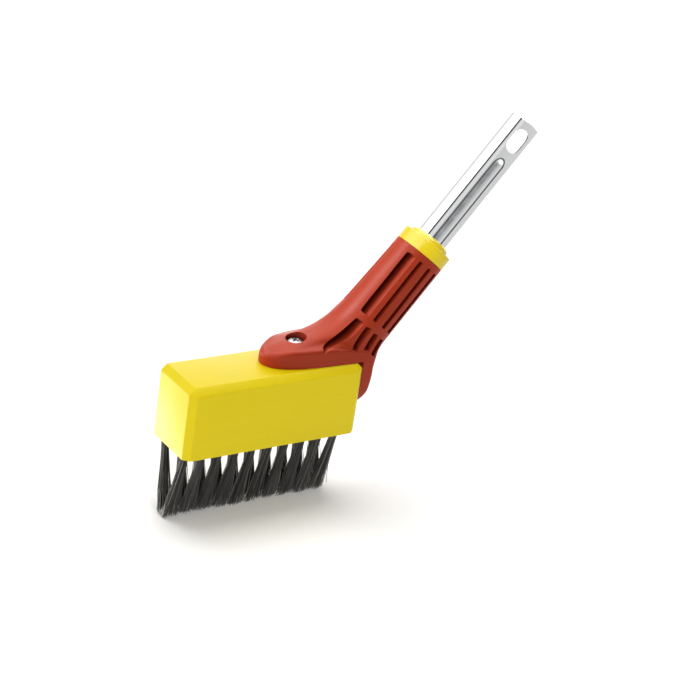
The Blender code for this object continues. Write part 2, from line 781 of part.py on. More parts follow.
def main():
    clear_scene()
    lacquer = material("yellow_lacquer", LACQUER, 0.32)
    red = material("red_moulding", MOULDED_RED, 0.38)
    yellow = material("yellow_moulding", COLLAR_YELLOW, 0.35)
    steel = material("plated_steel", STEEL, 0.16, 1.0)
    zinc = material("zinc_screw", SCREW_ZINC, 0.3, 1.0)
    wire = material("bristle_wire", BRISTLE_WIRE, 0.5, 0.4)
    anchor = material("anchor_steel", ANCHOR_STEEL, 0.45, 1.0)

    # The middle of the whole object stands over the origin.
    farthest = STUB_TIP.x + STUB_RADIUS * math.sin(STUB_ANGLE)
    frame = empty("block_frame", (-farthest / 2, 0.0, BRISTLE_LENGTH))
    stub_frame = empty(
        "stub_frame", sleeve_mouth(), (0.0, math.pi / 2 - STUB_ANGLE, 0.0), frame
    )

    make_block(frame, lacquer)
    for row in ROWS:
        for i in range(TUFTS_PER_ROW):
            make_tuft(f"tuft_{row}_{i + 1:02d}", row, i, frame, wire)
            make_anchor(f"anchor_{row}_{i + 1:02d}", row, i, frame, anchor)
    make_adapter(frame, stub_frame, red)
    make_stub(stub_frame, steel)
    make_collar(stub_frame, yellow)
    make_screw("foot_screw", frame, Matrix.Translation(FOOT_SCREW), FOOT_SEAT, 38.6 * MM, zinc)
    sideways = Matrix.Translation(HEEL_SCREW) @ Matrix.Rotation(math.pi / 2, 4, "Y")
    make_screw("heel_screw", frame, sideways, HEEL_SEAT, 30 * MM, zinc)


main()
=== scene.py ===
"""Looks of the scraper brush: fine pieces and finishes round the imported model."""

import math
import random

import bmesh
import bpy
import numpy as np
from mathutils import Matrix, Vector
from mathutils.bvhtree import BVHTree


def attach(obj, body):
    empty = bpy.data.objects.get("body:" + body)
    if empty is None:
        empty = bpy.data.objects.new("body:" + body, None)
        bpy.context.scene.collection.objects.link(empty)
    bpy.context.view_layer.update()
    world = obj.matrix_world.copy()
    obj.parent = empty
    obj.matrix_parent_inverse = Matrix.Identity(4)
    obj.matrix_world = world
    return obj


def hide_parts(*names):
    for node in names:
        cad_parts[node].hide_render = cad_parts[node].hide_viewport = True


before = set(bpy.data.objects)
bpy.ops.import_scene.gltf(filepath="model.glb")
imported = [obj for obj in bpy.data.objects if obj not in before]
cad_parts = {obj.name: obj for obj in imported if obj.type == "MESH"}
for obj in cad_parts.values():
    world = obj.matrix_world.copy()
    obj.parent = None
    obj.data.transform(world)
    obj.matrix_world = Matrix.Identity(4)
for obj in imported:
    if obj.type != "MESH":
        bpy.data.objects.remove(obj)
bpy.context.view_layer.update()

MM = 0.001
GAP = 0.3 * MM

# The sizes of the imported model, in the block's frame
BLOCK_LENGTH, BLOCK_WIDTH, BLOCK_HEIGHT = 130 * MM, 45 * MM, 50 * MM
BLOCK_CHAMFER = 4.2 * MM
TUFTS_PER_ROW = 10
BRISTLE_LENGTH = 50.4 * MM
TUFT_DEPTH = 14.0 * MM
TUFT_RADIUS = 2.5 * MM
TIP_HALF_LENGTH, TIP_HALF_WIDTH = 4.8 * MM, 2.65 * MM
ROWS = {
    "front": (7.3 * MM, 12.72 * MM, -11.0 * MM, -2.95 * MM, -2.3 * MM, -5.0 * MM),
    "back": (4.9 * MM, 12.70 * MM, 12.0 * MM, 2.95 * MM, 0.0, -0.8 * MM),
}
ANCHOR_WIDTH, ANCHOR_HEIGHT, ANCHOR_THICKNESS = 6.4 * MM, 2.2 * MM, 0.5 * MM
ANCHOR_DEPTH = 11.6 * MM
STUB_ANGLE = math.radians(51.33)
STUB_TIP = Vector((244.87 * MM, 0.0, 200.82 * MM))
STUB_REACH, STUB_INSERT = 110.8 * MM, 55.8 * MM
STUB_RADIUS, STUB_WALL = 11.0 * MM, 1.0 * MM
FLUTE_ANGLE = math.radians(20.5)
FLUTE_HALF_ANGLE = math.radians(19.5)
FLUTE_DEPTH = 2.0 * MM
FLUTE_END = 29.2 * MM
LOCK_HOLE_CENTRE, LOCK_HOLE_LENGTH, LOCK_HOLE_WIDTH = 14.3 * MM, 17.4 * MM, 12.0 * MM
SLEEVE_RADIUS = 18.15 * MM
BORE_RADIUS, BORE_DEPTH = STUB_RADIUS + GAP, 56.1 * MM
COUNTERBORE_RADIUS, COUNTERBORE_DEPTH = 13.3 * MM, 2.8 * MM
FOOT_NOSE_X, HEEL_TIP_Z = 62.2 * MM, 12.0 * MM
FOOT_HEIGHT = (8.5 * MM, 11.3 * MM)
HEEL_THICKNESS = (6.0 * MM, 9.2 * MM)
EDGE_RADIUS = (3.6 * MM, 2.4 * MM)
SLEEVE_TAPER, TAPER_START = 0.044, 8.0 * MM
LONG_POCKETS = (
    ((-1,), (12.3, 16.4), (13.9, 18.0), 3.0),
    ((1,), (14.4, 16.8), (16.0, 18.5), 3.0),
    ((-1, 1), (6.8, 9.6), (7.9, 10.9), 11.4),
    ((-1, 1), (-0.7, 2.4), (-0.8, 2.6), 12.9),
    ((-1, 1), (-8.8, -5.2), (-9.1, -5.4), 11.9),
    ((-1, 1), (-15.6, -12.9), (-15.6, -12.9), 3.0),
)
LONG_POCKET_ENDS = (-53.8, -4.4)
POCKET_WEB = 3.0 * MM
FOOT_SCREW = Vector((87.0 * MM, 0.0, 50.0 * MM))
HEEL_SCREW = Vector((130.0 * MM, 0.0, 27.0 * MM))
HEAD_RADIUS, HEAD_HEIGHT = 5.6 * MM, 2.6 * MM
SHANK_RADIUS, RECESS_RADIUS = 2.4 * MM, 6.9 * MM
FOOT_SEAT, HEEL_SEAT = 11.0 * MM, 3.6 * MM

ALONG = Vector((math.cos(STUB_ANGLE), 0.0, math.sin(STUB_ANGLE)))
ACROSS = Vector((-math.sin(STUB_ANGLE), 0.0, math.cos(STUB_ANGLE)))
MOUTH = STUB_TIP - ALONG * STUB_REACH

# Block's frame to the model's frame, and the stub's frame to the model's
BLOCK_FRAME = Matrix.Translation(
    (-(STUB_TIP.x + STUB_RADIUS * math.sin(STUB_ANGLE)) / 2, 0.0, BRISTLE_LENGTH)
)
STUB_FRAME = (
    BLOCK_FRAME @ Matrix.Translation(MOUTH) @ Matrix.Rotation(math.pi / 2 - STUB_ANGLE, 4, "Y")
)
SIDEWAYS = Matrix.Rotation(math.pi / 2, 4, "Y")


# --------------------------------------------------------------------------
# Mesh helpers


def mesh_object(name, verts, faces, matrix=None):
    mesh = bpy.data.meshes.new(name)
    mesh.from_pydata([tuple(v) for v in verts], [], [tuple(f) for f in faces])
    bm = bmesh.new()
    bm.from_mesh(mesh)
    if matrix is not None:
        bmesh.ops.transform(bm, matrix=matrix, verts=bm.verts[:])
    bmesh.ops.recalc_face_normals(bm, faces=bm.faces[:])
    bm.to_mesh(mesh)
    bm.free()
    obj = bpy.data.objects.new(name, mesh)
    bpy.context.scene.collection.objects.link(obj)
    return obj


def evaluated(obj):
    """Puts the object's evaluated mesh in its place, and drops the modifiers."""
    bpy.context.view_layer.update()
    graph = bpy.context.evaluated_depsgraph_get()
    mesh = bpy.data.meshes.new_from_object(obj.evaluated_get(graph), depsgraph=graph)
    obj.modifiers.clear()
    old = obj.data
    obj.data = mesh
    mesh.name = old.name
    bpy.data.meshes.remove(old)
    return obj


def cut(obj, *cutters):
    """Boolean difference, applied, and the cutters removed."""
    for cutter in cutters:
        m = obj.modifiers.new("cut", "BOOLEAN")
        m.operation = "DIFFERENCE"
        m.solver = "EXACT"
        m.object = cutter
    evaluated(obj)
    for cutter in cutters:
        bpy.data.objects.remove(cutter, do_unlink=True)
    return obj


def smooth(obj, angle):
    obj.data.shade_smooth()
    obj.data.set_sharp_from_angle(angle=math.radians(angle))
    return obj


def loft(rings, closed_ends=True):
    count = len(rings[0])
    verts = [tuple(p) for ring in rings for p in ring]
    faces = []
    for i in range(len(rings) - 1):
        for j in range(count):
            a, b = i * count + j, i * count + (j + 1) % count
            faces.append((a, b, b + count, a + count))
    if closed_ends:
        faces.append(tuple(range(count)))
        last = (len(rings) - 1) * count
        faces.append(tuple(range(last, last + count)))
    return verts, faces


def turned(profile, steps):
    """(radius, height) points turned about Z, closed where they leave the axis."""
    verts, faces, index = [], [], []
    for radius, height in profile:
        if radius <= 1e-9:
            index.append([len(verts)] * steps)
            verts.append((0.0, 0.0, height))
            continue
        start = len(verts)
        for k in range(steps):
            a = 2 * math.pi * k / steps
            verts.append((radius * math.cos(a), radius * math.sin(a), height))
        index.append([start + k for k in range(steps)])
    pairs = list(zip(index, index[1:]))
    if profile[0][0] > 1e-9 or profile[-1][0] > 1e-9:
        pairs.append((index[-1], index[0]))
    for lower, upper in pairs:
        for k in range(steps):
            corners = [lower[k], lower[(k + 1) % steps], upper[(k + 1) % steps], upper[k]]
            face = list(dict.fromkeys(corners))
            if len(face) > 2:
                faces.append(face)
    return verts, faces


def merged(groups):
    verts, faces = [], []
    for group_verts, group_faces in groups:
        start = len(verts)
        verts += list(group_verts)
        faces += [tuple(start + i for i in face) for face in group_faces]
    return verts, faces


def moved(group, matrix):
    verts, faces = group
    return [tuple(matrix @ Vector(v)) for v in verts], faces


def box(low, high):
    verts = [
        (x, y, z)
        for z in (low[2], high[2])
        for x, y in ((low[0], low[1]), (high[0], low[1]), (high[0], high[1]), (low[0], high[1]))
    ]
    return verts, [(3, 2, 1, 0), (4, 5, 6, 7), (0, 1, 5, 4), (1, 2, 6, 5), (2, 3, 7, 6), (3, 0, 4, 7)]


def prism(outline, low_y, high_y):
    """An outline in the XZ plane, pulled along Y."""
    count = len(outline)
    verts = [(x, low_y, z) for x, z in outline] + [(x, high_y, z) for x, z in outline]
    faces = [tuple(range(count)), tuple(range(2 * count - 1, count - 1, -1))]
    for k in range(count):
        n = (k + 1) % count
        faces.append((k, k + count, n + count, n))
    return verts, faces


def rounded(outline, radii, steps=6):
    """A closed 2-D outline with its sharp corners rounded off."""
    count = len(outline)
    out = []
    for k in range(count):
        p, a, b = (np.array(outline[j % count], float) for j in (k, k - 1, k + 1))
        u, v = a - p, b - p
        lu, lv = np.linalg.norm(u), np.linalg.norm(v)
        u, v = u / lu, v / lv
        bend = math.pi - math.acos(max(-1.0, min(1.0, float(u @ v))))
        r = radii[k] if isinstance(radii, (list, tuple)) else radii
        if bend < math.radians(20) or r <= 0:
            out.append(tuple(p))
            continue
        reach = min(r * math.tan(bend / 2), 0.49 * lu, 0.49 * lv)
        start, end = p + u * reach, p + v * reach
        for s in range(steps + 1):
            t = s / steps
            out.append(tuple((1 - t) ** 2 * start + 2 * (1 - t) * t * p + t**2 * end))
    return out


def rounded_profile(points, radii, steps=4):
    """An open or closed (radius, height) profile with rounded corners."""
    return rounded(points, radii, steps)


def smooth_step(x):
    x = min(max(x, 0.0), 1.0)
    return x * x * (3 - 2 * x)


def curve_points(points, count):
    """A smooth curve through a few points (Catmull-Rom)."""
    pts = [np.array(p, float) for p in points]
    pts = [2 * pts[0] - pts[1]] + pts + [2 * pts[-1] - pts[-2]]
    spans = len(pts) - 3
    out = []
    for k in range(count + 1):
        s = k / count * spans
        i = min(int(s), spans - 1)
        t = s - i
        p0, p1, p2, p3 = pts[i : i + 4]
        out.append(
            0.5
            * (
                2 * p1
                + (p2 - p0) * t
                + (2 * p0 - 5 * p1 + 4 * p2 - p3) * t**2
                + (3 * p1 - p0 - 3 * p2 + p3) * t**3
            )
        )
    return out


# --------------------------------------------------------------------------
# Finishes


class Finish:
    """A Principled material, with helpers for its procedural nodes."""

    def __init__(self, name, colour, roughness, metallic=0.0, ior=1.5, specular=0.5):
        self.mat = bpy.data.materials.new(name)
        self.mat.use_nodes = True
        self.tree = self.mat.node_tree
        self.shader = self.tree.nodes["Principled BSDF"]
        self.shader.inputs["Base Color"].default_value = (*colour, 1.0)
        self.shader.inputs["Roughness"].default_value = roughness
        self.shader.inputs["Metallic"].default_value = metallic
        self.shader.inputs["IOR"].default_value = ior
        self.shader.inputs["Specular IOR Level"].default_value = specular
        self.mat.diffuse_color = (*colour, 1.0)
        self.coords = self.tree.nodes.new("ShaderNodeTexCoord").outputs["Object"]

    def node(self, kind, **values):
        n = self.tree.nodes.new(kind)
        for key, value in values.items():
            if hasattr(n, key):
                setattr(n, key, value)
            else:
                n.inputs[key].default_value = value
        return n

    def link(self, a, b):
        self.tree.links.new(a, b)

    def mapped(self, scale, rotation=(0, 0, 0), source=None):
        m = self.node("ShaderNodeMapping")
        m.inputs["Scale"].default_value = scale
        m.inputs["Rotation"].default_value = rotation
        self.link(source or self.coords, m.inputs["Vector"])
        return m.outputs["Vector"]

    def noise(self, vector, scale, detail=3.0, roughness=0.5, distortion=0.0):
        n = self.node("ShaderNodeTexNoise")
        n.inputs["Scale"].default_value = scale
        n.inputs["Detail"].default_value = detail
        n.inputs["Roughness"].default_value = roughness
        n.inputs["Distortion"].default_value = distortion
        self.link(vector, n.inputs["Vector"])
        return n.outputs["Fac"]

    def between(self, value, low, high, to_low, to_high):
        m = self.node("ShaderNodeMapRange")
        for key, number in (("From Min", low), ("From Max", high), ("To Min", to_low), ("To Max", to_high)):
            m.inputs[key].default_value = number
        self.link(value, m.inputs["Value"])
        return m.outputs["Result"]

    def maths(self, operation, a, b):
        m = self.node("ShaderNodeMath", operation=operation)
        for socket, value in zip(m.inputs, (a, b)):
            if isinstance(value, (int, float)):
                socket.default_value = value
            else:
                self.link(value, socket)
        return m.outputs[0]

    def mix(self, factor, a, b):
        """Colour a where the factor is 0 and b where it is 1."""
        m = self.node("ShaderNodeMix", data_type="RGBA")
        for socket, value in ((m.inputs[0], factor), (m.inputs[6], a), (m.inputs[7], b)):
            if isinstance(value, (int, float)):
                socket.default_value = value
            elif isinstance(value, tuple):
                socket.default_value = (*value[:3], 1.0)
            else:
                self.link(value, socket)
        return m.outputs[2]

    def bump(self, height, distance, strength=1.0, before=None):
        b = self.node("ShaderNodeBump")
        b.inputs["Strength"].default_value = strength
        b.inputs["Distance"].default_value = distance
        self.link(height, b.inputs["Height"])
        if before is not None:
            self.link(before, b.inputs["Normal"])
        return b.outputs["Normal"]

    def set(self, name, output):
        self.link(output, self.shader.inputs[name])


def lacquer_finish():
    """Yellow lacquer on a planed wooden block: faint grain, orange peel."""
    f = Finish("yellow_lacquer", (0.86, 0.68, 0.004), 0.36, specular=0.17)
    grain_coords = f.mapped((18.0, 420.0, 420.0))
    grain = f.noise(grain_coords, 1.0, 4.0, 0.6, 0.6)
    pores = f.noise(f.mapped((160.0, 2400.0, 2400.0)), 1.0, 2.0, 0.5)
    cloud = f.noise(f.coords, 28.0, 3.0, 0.55)
    colour = f.mix(f.between(grain, 0.35, 0.72, 0.0, 1.0), (0.805, 0.635, 0.003), (0.78, 0.61, 0.002))
    colour = f.mix(f.between(cloud, 0.35, 0.70, 0.0, 0.55), colour, (0.81, 0.64, 0.004))
    f.set("Base Color", colour)
    f.set("Roughness", f.between(cloud, 0.3, 0.7, 0.31, 0.42))
    peel = f.noise(f.coords, 900.0, 2.0, 0.5)
    normal = f.bump(peel, 0.00006, 0.5)
    normal = f.bump(grain, 0.00010, 0.5, normal)
    f.set("Normal", f.bump(pores, 0.00004, 0.35, normal))
    return f


def red_finish():
    """Red injection-moulded polypropylene with a fine spark-eroded texture."""
    f = Finish("red_moulding", (0.40, 0.04, 0.012), 0.36, specular=0.13)
    cloud = f.noise(f.coords, 40.0, 4.0, 0.6)
    speck = f.noise(f.coords, 1800.0, 2.0, 0.55)
    colour = f.mix(f.between(cloud, 0.3, 0.7, 0.0, 1.0), (0.355, 0.033, 0.010), (0.38, 0.038, 0.013))
    # painted shade: the red is darkened towards the depth of the pockets, for the shade that falls down in them
    pocket_shade = f.node("ShaderNodeAttribute")
    pocket_shade.attribute_name = "pocket_shade"
    colour = f.mix(pocket_shade.outputs["Fac"], colour, (0.09, 0.004, 0.002))
    f.set("Base Color", colour)
    f.set("Roughness", f.between(speck, 0.3, 0.7, 0.30, 0.40))
    normal = f.bump(speck, 0.00005, 0.45)
    f.set("Normal", f.bump(cloud, 0.0004, 0.12, normal))
    return f


def collar_finish():
    """Yellow moulded collar, a little glossier than the block."""
    f = Finish("yellow_moulding", (0.87, 0.67, 0.002), 0.30, specular=0.14)
    f.shader.inputs["Coat Weight"].default_value = 0.55
    f.shader.inputs["Coat Roughness"].default_value = 0.10
    f.shader.inputs["Coat IOR"].default_value = 1.5
    cloud = f.noise(f.coords, 60.0, 3.0, 0.5)
    speck = f.noise(f.coords, 1600.0, 2.0, 0.5)
    f.set("Base Color", f.mix(f.between(cloud, 0.3, 0.7, 0.0, 1.0), (0.70, 0.535, 0.001), (0.73, 0.56, 0.002)))
    f.set("Roughness", f.between(speck, 0.3, 0.7, 0.26, 0.36))
    f.set("Normal", f.bump(speck, 0.00004, 0.35))
    return f


def plating_finish():
    """Bright plated steel, with faint draw lines along the tube.

    The mesh attribute that marks the flute is 0 on the drawn surface and grows to 1 on the flute's lower side, where
    painted shade darkens the plating and it is rougher, and is above 1 in its creases, where painted shade is darker
    still.
    """
    f = Finish("bright_plating", (0.90, 0.905, 0.91), 0.10, 1.0)
    # the draw lines follow the tube's axis, so the axis is turned to Z first
    turn = (0.0, -(math.pi / 2 - STUB_ANGLE), 0.0)
    drawn = f.noise(f.mapped((2600.0, 2600.0, 22.0), source=f.mapped((1, 1, 1), turn)), 1.0, 3.0, 0.6)
    cloud = f.noise(f.coords, 160.0, 4.0, 0.6)
    flute_shade = f.node("ShaderNodeAttribute")
    flute_shade.attribute_name = "flute_shade"
    bright = f.mix(f.between(drawn, 0.3, 0.7, 0.0, 1.0), (0.90, 0.905, 0.91), (0.965, 0.97, 0.975))
    # painted shade: darker, mottled plating inside the flute, and near black in its creases
    shaded_plating = f.mix(f.between(cloud, 0.35, 0.65, 0.0, 1.0), (0.34, 0.35, 0.36), (0.52, 0.53, 0.54))
    colour = f.mix(f.between(flute_shade.outputs["Fac"], 0.0, 1.0, 0.0, 1.0), bright, shaded_plating)
    colour = f.mix(f.between(flute_shade.outputs["Fac"], 1.0, 2.0, 0.0, 1.0), colour, (0.10, 0.10, 0.105))
    f.set("Base Color", colour)
    rough = f.maths("ADD", f.between(drawn, 0.3, 0.7, 0.0, 0.03), f.between(cloud, 0.3, 0.7, 0.04, 0.07))
    f.set("Roughness", f.maths("ADD", rough, f.between(flute_shade.outputs["Fac"], 0.0, 1.0, 0.0, 0.14)))
    f.set("Normal", f.bump(drawn, 0.000012, 0.35))
    return f


def bare_finish():
    """The inside of the tube: zinc left satin."""
    f = Finish("satin_zinc", (0.93, 0.935, 0.94), 0.38, 1.0)
    cloud = f.noise(f.coords, 220.0, 4.0, 0.6)
    f.set("Base Color", f.mix(f.between(cloud, 0.3, 0.7, 0.0, 1.0), (0.90, 0.905, 0.91), (0.97, 0.975, 0.98)))
    f.set("Roughness", f.between(cloud, 0.3, 0.7, 0.30, 0.48))
    return f


def punched_finish():
    """The sheared wall of the lock hole, coloured dark as painted shade inside the hole."""
    f = Finish("punched_edge", (0.16, 0.16, 0.165), 0.35, 1.0)
    marks = f.noise(f.coords, 900.0, 3.0, 0.6)
    f.set("Base Color", f.mix(f.between(marks, 0.3, 0.7, 0.0, 1.0), (0.10, 0.10, 0.105), (0.24, 0.24, 0.25)))
    f.set("Roughness", f.between(marks, 0.3, 0.7, 0.28, 0.45))
    return f


def wire_finish():
    """Oiled dark steel wire; each filament has its own tone."""
    f = Finish("bristle_wire", (0.035, 0.033, 0.030), 0.40, 0.20, specular=0.35)
    tone = f.node("ShaderNodeAttribute")
    tone.attribute_name = "tone"
    scale = f.noise(f.mapped((1500.0, 1500.0, 260.0)), 1.0, 2.0, 0.5)
    colour = f.mix(tone.outputs["Fac"], (0.010, 0.0095, 0.009), (0.22, 0.21, 0.19))
    colour = f.mix(f.between(scale, 0.45, 0.80, 0.0, 0.35), colour, (0.08, 0.076, 0.07))
    f.set("Base Color", colour)
    f.set("Roughness", f.between(scale, 0.3, 0.7, 0.28, 0.46))
    return f


def screw_finish():
    """Zinc-plated screw with a fine tumbled surface."""
    f = Finish("zinc_plating", (0.32, 0.325, 0.33), 0.36, 1.0)
    spots = f.noise(f.coords, 700.0, 4.0, 0.6)
    f.set("Base Color", f.mix(f.between(spots, 0.35, 0.7, 0.0, 1.0), (0.20, 0.20, 0.198), (0.29, 0.29, 0.288)))
    f.set("Roughness", f.between(spots, 0.3, 0.7, 0.30, 0.44))
    f.set("Normal", f.bump(spots, 0.00003, 0.4))
    return f


def anchor_finish():
    """Punched steel strip."""
    f = Finish("anchor_steel", (0.45, 0.44, 0.42), 0.42, 1.0)
    marks = f.noise(f.mapped((300.0, 3000.0, 3000.0)), 1.0, 3.0, 0.6)
    f.set("Base Color", f.mix(f.between(marks, 0.3, 0.7, 0.0, 1.0), (0.38, 0.37, 0.35), (0.52, 0.51, 0.49)))
    f.set("Roughness", f.between(marks, 0.3, 0.7, 0.32, 0.52))
    f.set("Normal", f.bump(marks, 0.00003, 0.5))
    return f


# --------------------------------------------------------------------------
# Block and bristles


def tuft_axis(row, i):
    first, pitch, root_y, tip_y, lean_first, lean_last = ROWS[row]
    x = first + pitch * i
    lean = lean_first + (lean_last - lean_first) * i / (TUFTS_PER_ROW - 1)
    return Vector((x, root_y, 0.0)), Vector((x + lean, tip_y, -BRISTLE_LENGTH))


def tuft_frame(row, i):
    root, tip = tuft_axis(row, i)
    z = (root - tip).normalized()
    y = z.cross(Vector((1.0, 0.0, 0.0))).normalized()
    x = y.cross(z)
    matrix = Matrix((x, y, z)).transposed().to_4x4()
    matrix.translation = root
    return matrix


def make_block():
    """Chamfered block with broken edges, drilled for the tufts and screws."""
    bm = bmesh.new()
    bmesh.ops.create_cube(bm, size=1.0)
    bmesh.ops.scale(bm, vec=(BLOCK_LENGTH, BLOCK_WIDTH, BLOCK_HEIGHT), verts=bm.verts[:])
    bmesh.ops.translate(bm, vec=(BLOCK_LENGTH / 2, 0.0, BLOCK_HEIGHT / 2), verts=bm.verts[:])
    low = [e for e in bm.edges if all(v.co.z < 1e-6 for v in e.verts)]
    bmesh.ops.bevel(
        bm,
        geom=[e for e in bm.edges if e not in low],
        offset=BLOCK_CHAMFER,
        segments=1,
        profile=0.5,
        affect="EDGES",
    )
    # every arris is broken a little by sanding and by the lacquer's film
    bmesh.ops.bevel(bm, geom=bm.edges[:], offset=0.35 * MM, segments=3, profile=0.5, affect="EDGES")
    bmesh.ops.transform(bm, matrix=BLOCK_FRAME, verts=bm.verts[:])
    bmesh.ops.recalc_face_normals(bm, faces=bm.faces[:])
    mesh = bpy.data.meshes.new("lacquered_block")
    bm.to_mesh(mesh)
    bm.free()
    block = bpy.data.objects.new("lacquered_block", mesh)
    bpy.context.scene.collection.objects.link(block)

    holes, slits = [], []
    for row in ROWS:
        for i in range(TUFTS_PER_ROW):
            matrix = tuft_frame(row, i)
            r = TUFT_RADIUS + GAP
            # drilled hole with a slightly broken lip
            profile = [
                (0.0, -6 * MM),
                (r + 6.35 * MM, -6 * MM),
                (r, 0.35 * MM),
                (r, TUFT_DEPTH + GAP),
                (0.0, TUFT_DEPTH + 1.2 * MM),
            ]
            holes.append(moved(turned(profile, 28), matrix))
            half = ANCHOR_WIDTH / 2 + GAP
            thick, tall = ANCHOR_THICKNESS / 2 + GAP, ANCHOR_HEIGHT / 2 + GAP
            slits.append(
                moved(box((-half, -thick, ANCHOR_DEPTH - tall), (half, thick, ANCHOR_DEPTH + tall)), matrix)
            )
    pilot = SHANK_RADIUS + GAP
    foot = turned([(0.0, -33 * MM), (pilot, -30 * MM), (pilot, 5 * MM), (0.0, 5 * MM)], 32)
    heel = turned([(0.0, -31 * MM), (pilot, -28 * MM), (pilot, 5 * MM), (0.0, 5 * MM)], 32)
    pilots = merged(
        [
            moved(foot, Matrix.Translation(FOOT_SCREW)),
            moved(heel, Matrix.Translation(HEEL_SCREW) @ SIDEWAYS),
        ]
    )
    cut(
        block,
        mesh_object("cut_holes", *merged(holes), BLOCK_FRAME),
        mesh_object("cut_slits", *merged(slits), BLOCK_FRAME),
        mesh_object("cut_pilots", *pilots, BLOCK_FRAME),
    )
    return smooth(block, 28)


WIRE_RADIUS = 0.19 * MM
WIRES_PER_TUFT = 118
WIRE_SIDES = 5


def make_tuft(name, row, i, seed):
    """One bundle, wire by wire, fanned from its hole to ragged tips."""
    rng = random.Random(seed)
    root, tip = tuft_axis(row, i)
    matrix = tuft_frame(row, i)
    axis_x = matrix.col[0].to_3d()
    axis_y = matrix.col[1].to_3d()
    verts, faces, tones = [], [], []
    golden = math.pi * (3 - math.sqrt(5))
    clumps = [(rng.uniform(0, 2 * math.pi), rng.uniform(-1.1, 1.1) * MM, rng.uniform(-1.7, 0.5) * MM) for _ in range(8)]
    for w in range(WIRES_PER_TUFT):
        rho = math.sqrt((w + 0.5) / WIRES_PER_TUFT) * (TUFT_RADIUS - WIRE_RADIUS - 0.05 * MM)
        psi = golden * w + rng.uniform(-0.12, 0.12)
        ux, uy = rho * math.cos(psi), rho * math.sin(psi)
        start = root + axis_x * ux + axis_y * uy
        inner = start + (root - tip).normalized() * (ANCHOR_DEPTH - 1.9 * MM)
        share = rho / TUFT_RADIUS
        fan_x = TIP_HALF_LENGTH / TUFT_RADIUS * 1.42
        fan_y = TIP_HALF_WIDTH / TUFT_RADIUS * 0.92
        clump = min(clumps, key=lambda c: abs(math.remainder(c[0] - psi, 2 * math.pi)))
        stray = rng.random() < 0.05
        spread = rng.gauss(0.0, 1.0 * MM) * (2.2 if stray else 1.0)
        end = Vector(
            (
                tip.x + ux * fan_x + spread + clump[1],
                tip.y + uy * fan_y + rng.gauss(0.0, 0.35 * MM),
                tip.z,
            )
        )
        # ragged: cut to nearly one length, then worn and bent
        short = abs(rng.gauss(0.0, 1.1 * MM)) + max(0.0, -clump[2]) * 1.3 + (rng.uniform(0, 2.4) * MM if stray else 0.0)
        end = start + (end - start) * (1 - short / BRISTLE_LENGTH)
        bow_x = rng.gauss(0.0, 0.45 * MM) + (rng.choice((-1, 1)) * 0.9 * MM if stray else 0.0)
        bow_y = rng.gauss(0.0, 0.35 * MM)
        tone = min(1.0, max(0.0, rng.betavariate(0.7, 4.2) + 0.03 * share))
        if stray or rng.random() < 0.05:
            tone = rng.uniform(0.75, 1.0)
        lean = (tip - root) * ((end.z - start.z) / (tip.z - root.z))
        path = [inner]
        stations = 7
        for s in range(stations + 1):
            t = s / stations
            bend = math.sin(math.pi * t) * t
            p = start + lean * t + (end - start - lean) * t**1.4
            p = p + Vector((bow_x * bend, bow_y * bend, 0.0))
            path.append(p)
        for p in path:
            # nothing passes the block's end or the plane of the tips
            p.x = min(max(p.x, 0.25 * MM), BLOCK_LENGTH - 0.25 * MM)
            p.z = max(p.z, -BRISTLE_LENGTH + WIRE_RADIUS)
        first = len(verts)
        twist = rng.uniform(0, 2 * math.pi)
        for k, p in enumerate(path):
            q = path[min(k + 1, len(path) - 1)] - path[max(k - 1, 0)]
            q.normalize()
            side = q.cross(Vector((0.0, 1.0, 0.0))).normalized()
            other = side.cross(q)
            for j in range(WIRE_SIDES):
                a = twist + 2 * math.pi * j / WIRE_SIDES
                verts.append(p + (side * math.cos(a) + other * math.sin(a)) * WIRE_RADIUS)
                tones.append(tone)
        for k in range(len(path) - 1):
            for j in range(WIRE_SIDES):
                n = (j + 1) % WIRE_SIDES
                a = first + k * WIRE_SIDES
                faces.append((a + j, a + n, a + WIRE_SIDES + n, a + WIRE_SIDES + j))
        faces.append(tuple(first + j for j in range(WIRE_SIDES)))
        last = first + (len(path) - 1) * WIRE_SIDES
        faces.append(tuple(last + j for j in range(WIRE_SIDES)))
    floor = -BRISTLE_LENGTH + 0.02 * MM
    verts = [(v.x, v.y, max(v.z, floor)) for v in verts]
    obj = mesh_object(name, verts, faces, BLOCK_FRAME)
    layer = obj.data.attributes.new("tone", "FLOAT", "POINT")
    layer.data.foreach_set("value", tones)
    return smooth(obj, 60)


# --------------------------------------------------------------------------
# Adapter

CORNER_X, CORNER_Z = BLOCK_LENGTH + GAP, BLOCK_HEIGHT + GAP
CORNER_TURN = math.radians(100)


def foot_half_width(u):
    u = max(u, 0.0) / MM
    return 20 * math.tanh(math.sqrt(20.5 * u) / 20) * MM


def heel_half_width(u):
    full = (CORNER_Z - HEEL_TIP_Z) / MM
    u = max(u, 0.0) / MM
    share = math.tanh(math.sqrt(27 * u) / 20) / math.tanh(math.sqrt(27 * full) / 20)
    return foot_half_width(CORNER_X - FOOT_NOSE_X) * share


def outline_table(half_width, length, count=400):
    u = np.linspace(0.0, 1.0, count) ** 2 * length
    y = np.array([half_width(value) for value in u])
    run = np.concatenate(([0.0], np.cumsum(np.hypot(np.diff(u), np.diff(y)))))
    return u, y, run / run[-1]


def outline_point(table, share):
    u, y, run = table
    du = np.interp(min(share + 0.02, 1), run, u) - np.interp(max(share - 0.02, 0), run, u)
    dy = np.interp(min(share + 0.02, 1), run, y) - np.interp(max(share - 0.02, 0), run, y)
    size = math.hypot(du, dy)
    if share <= 0:
        du, dy, size = 0.0, 1.0, 1.0
    return np.interp(share, run, u), np.interp(share, run, y), du / size, dy / size


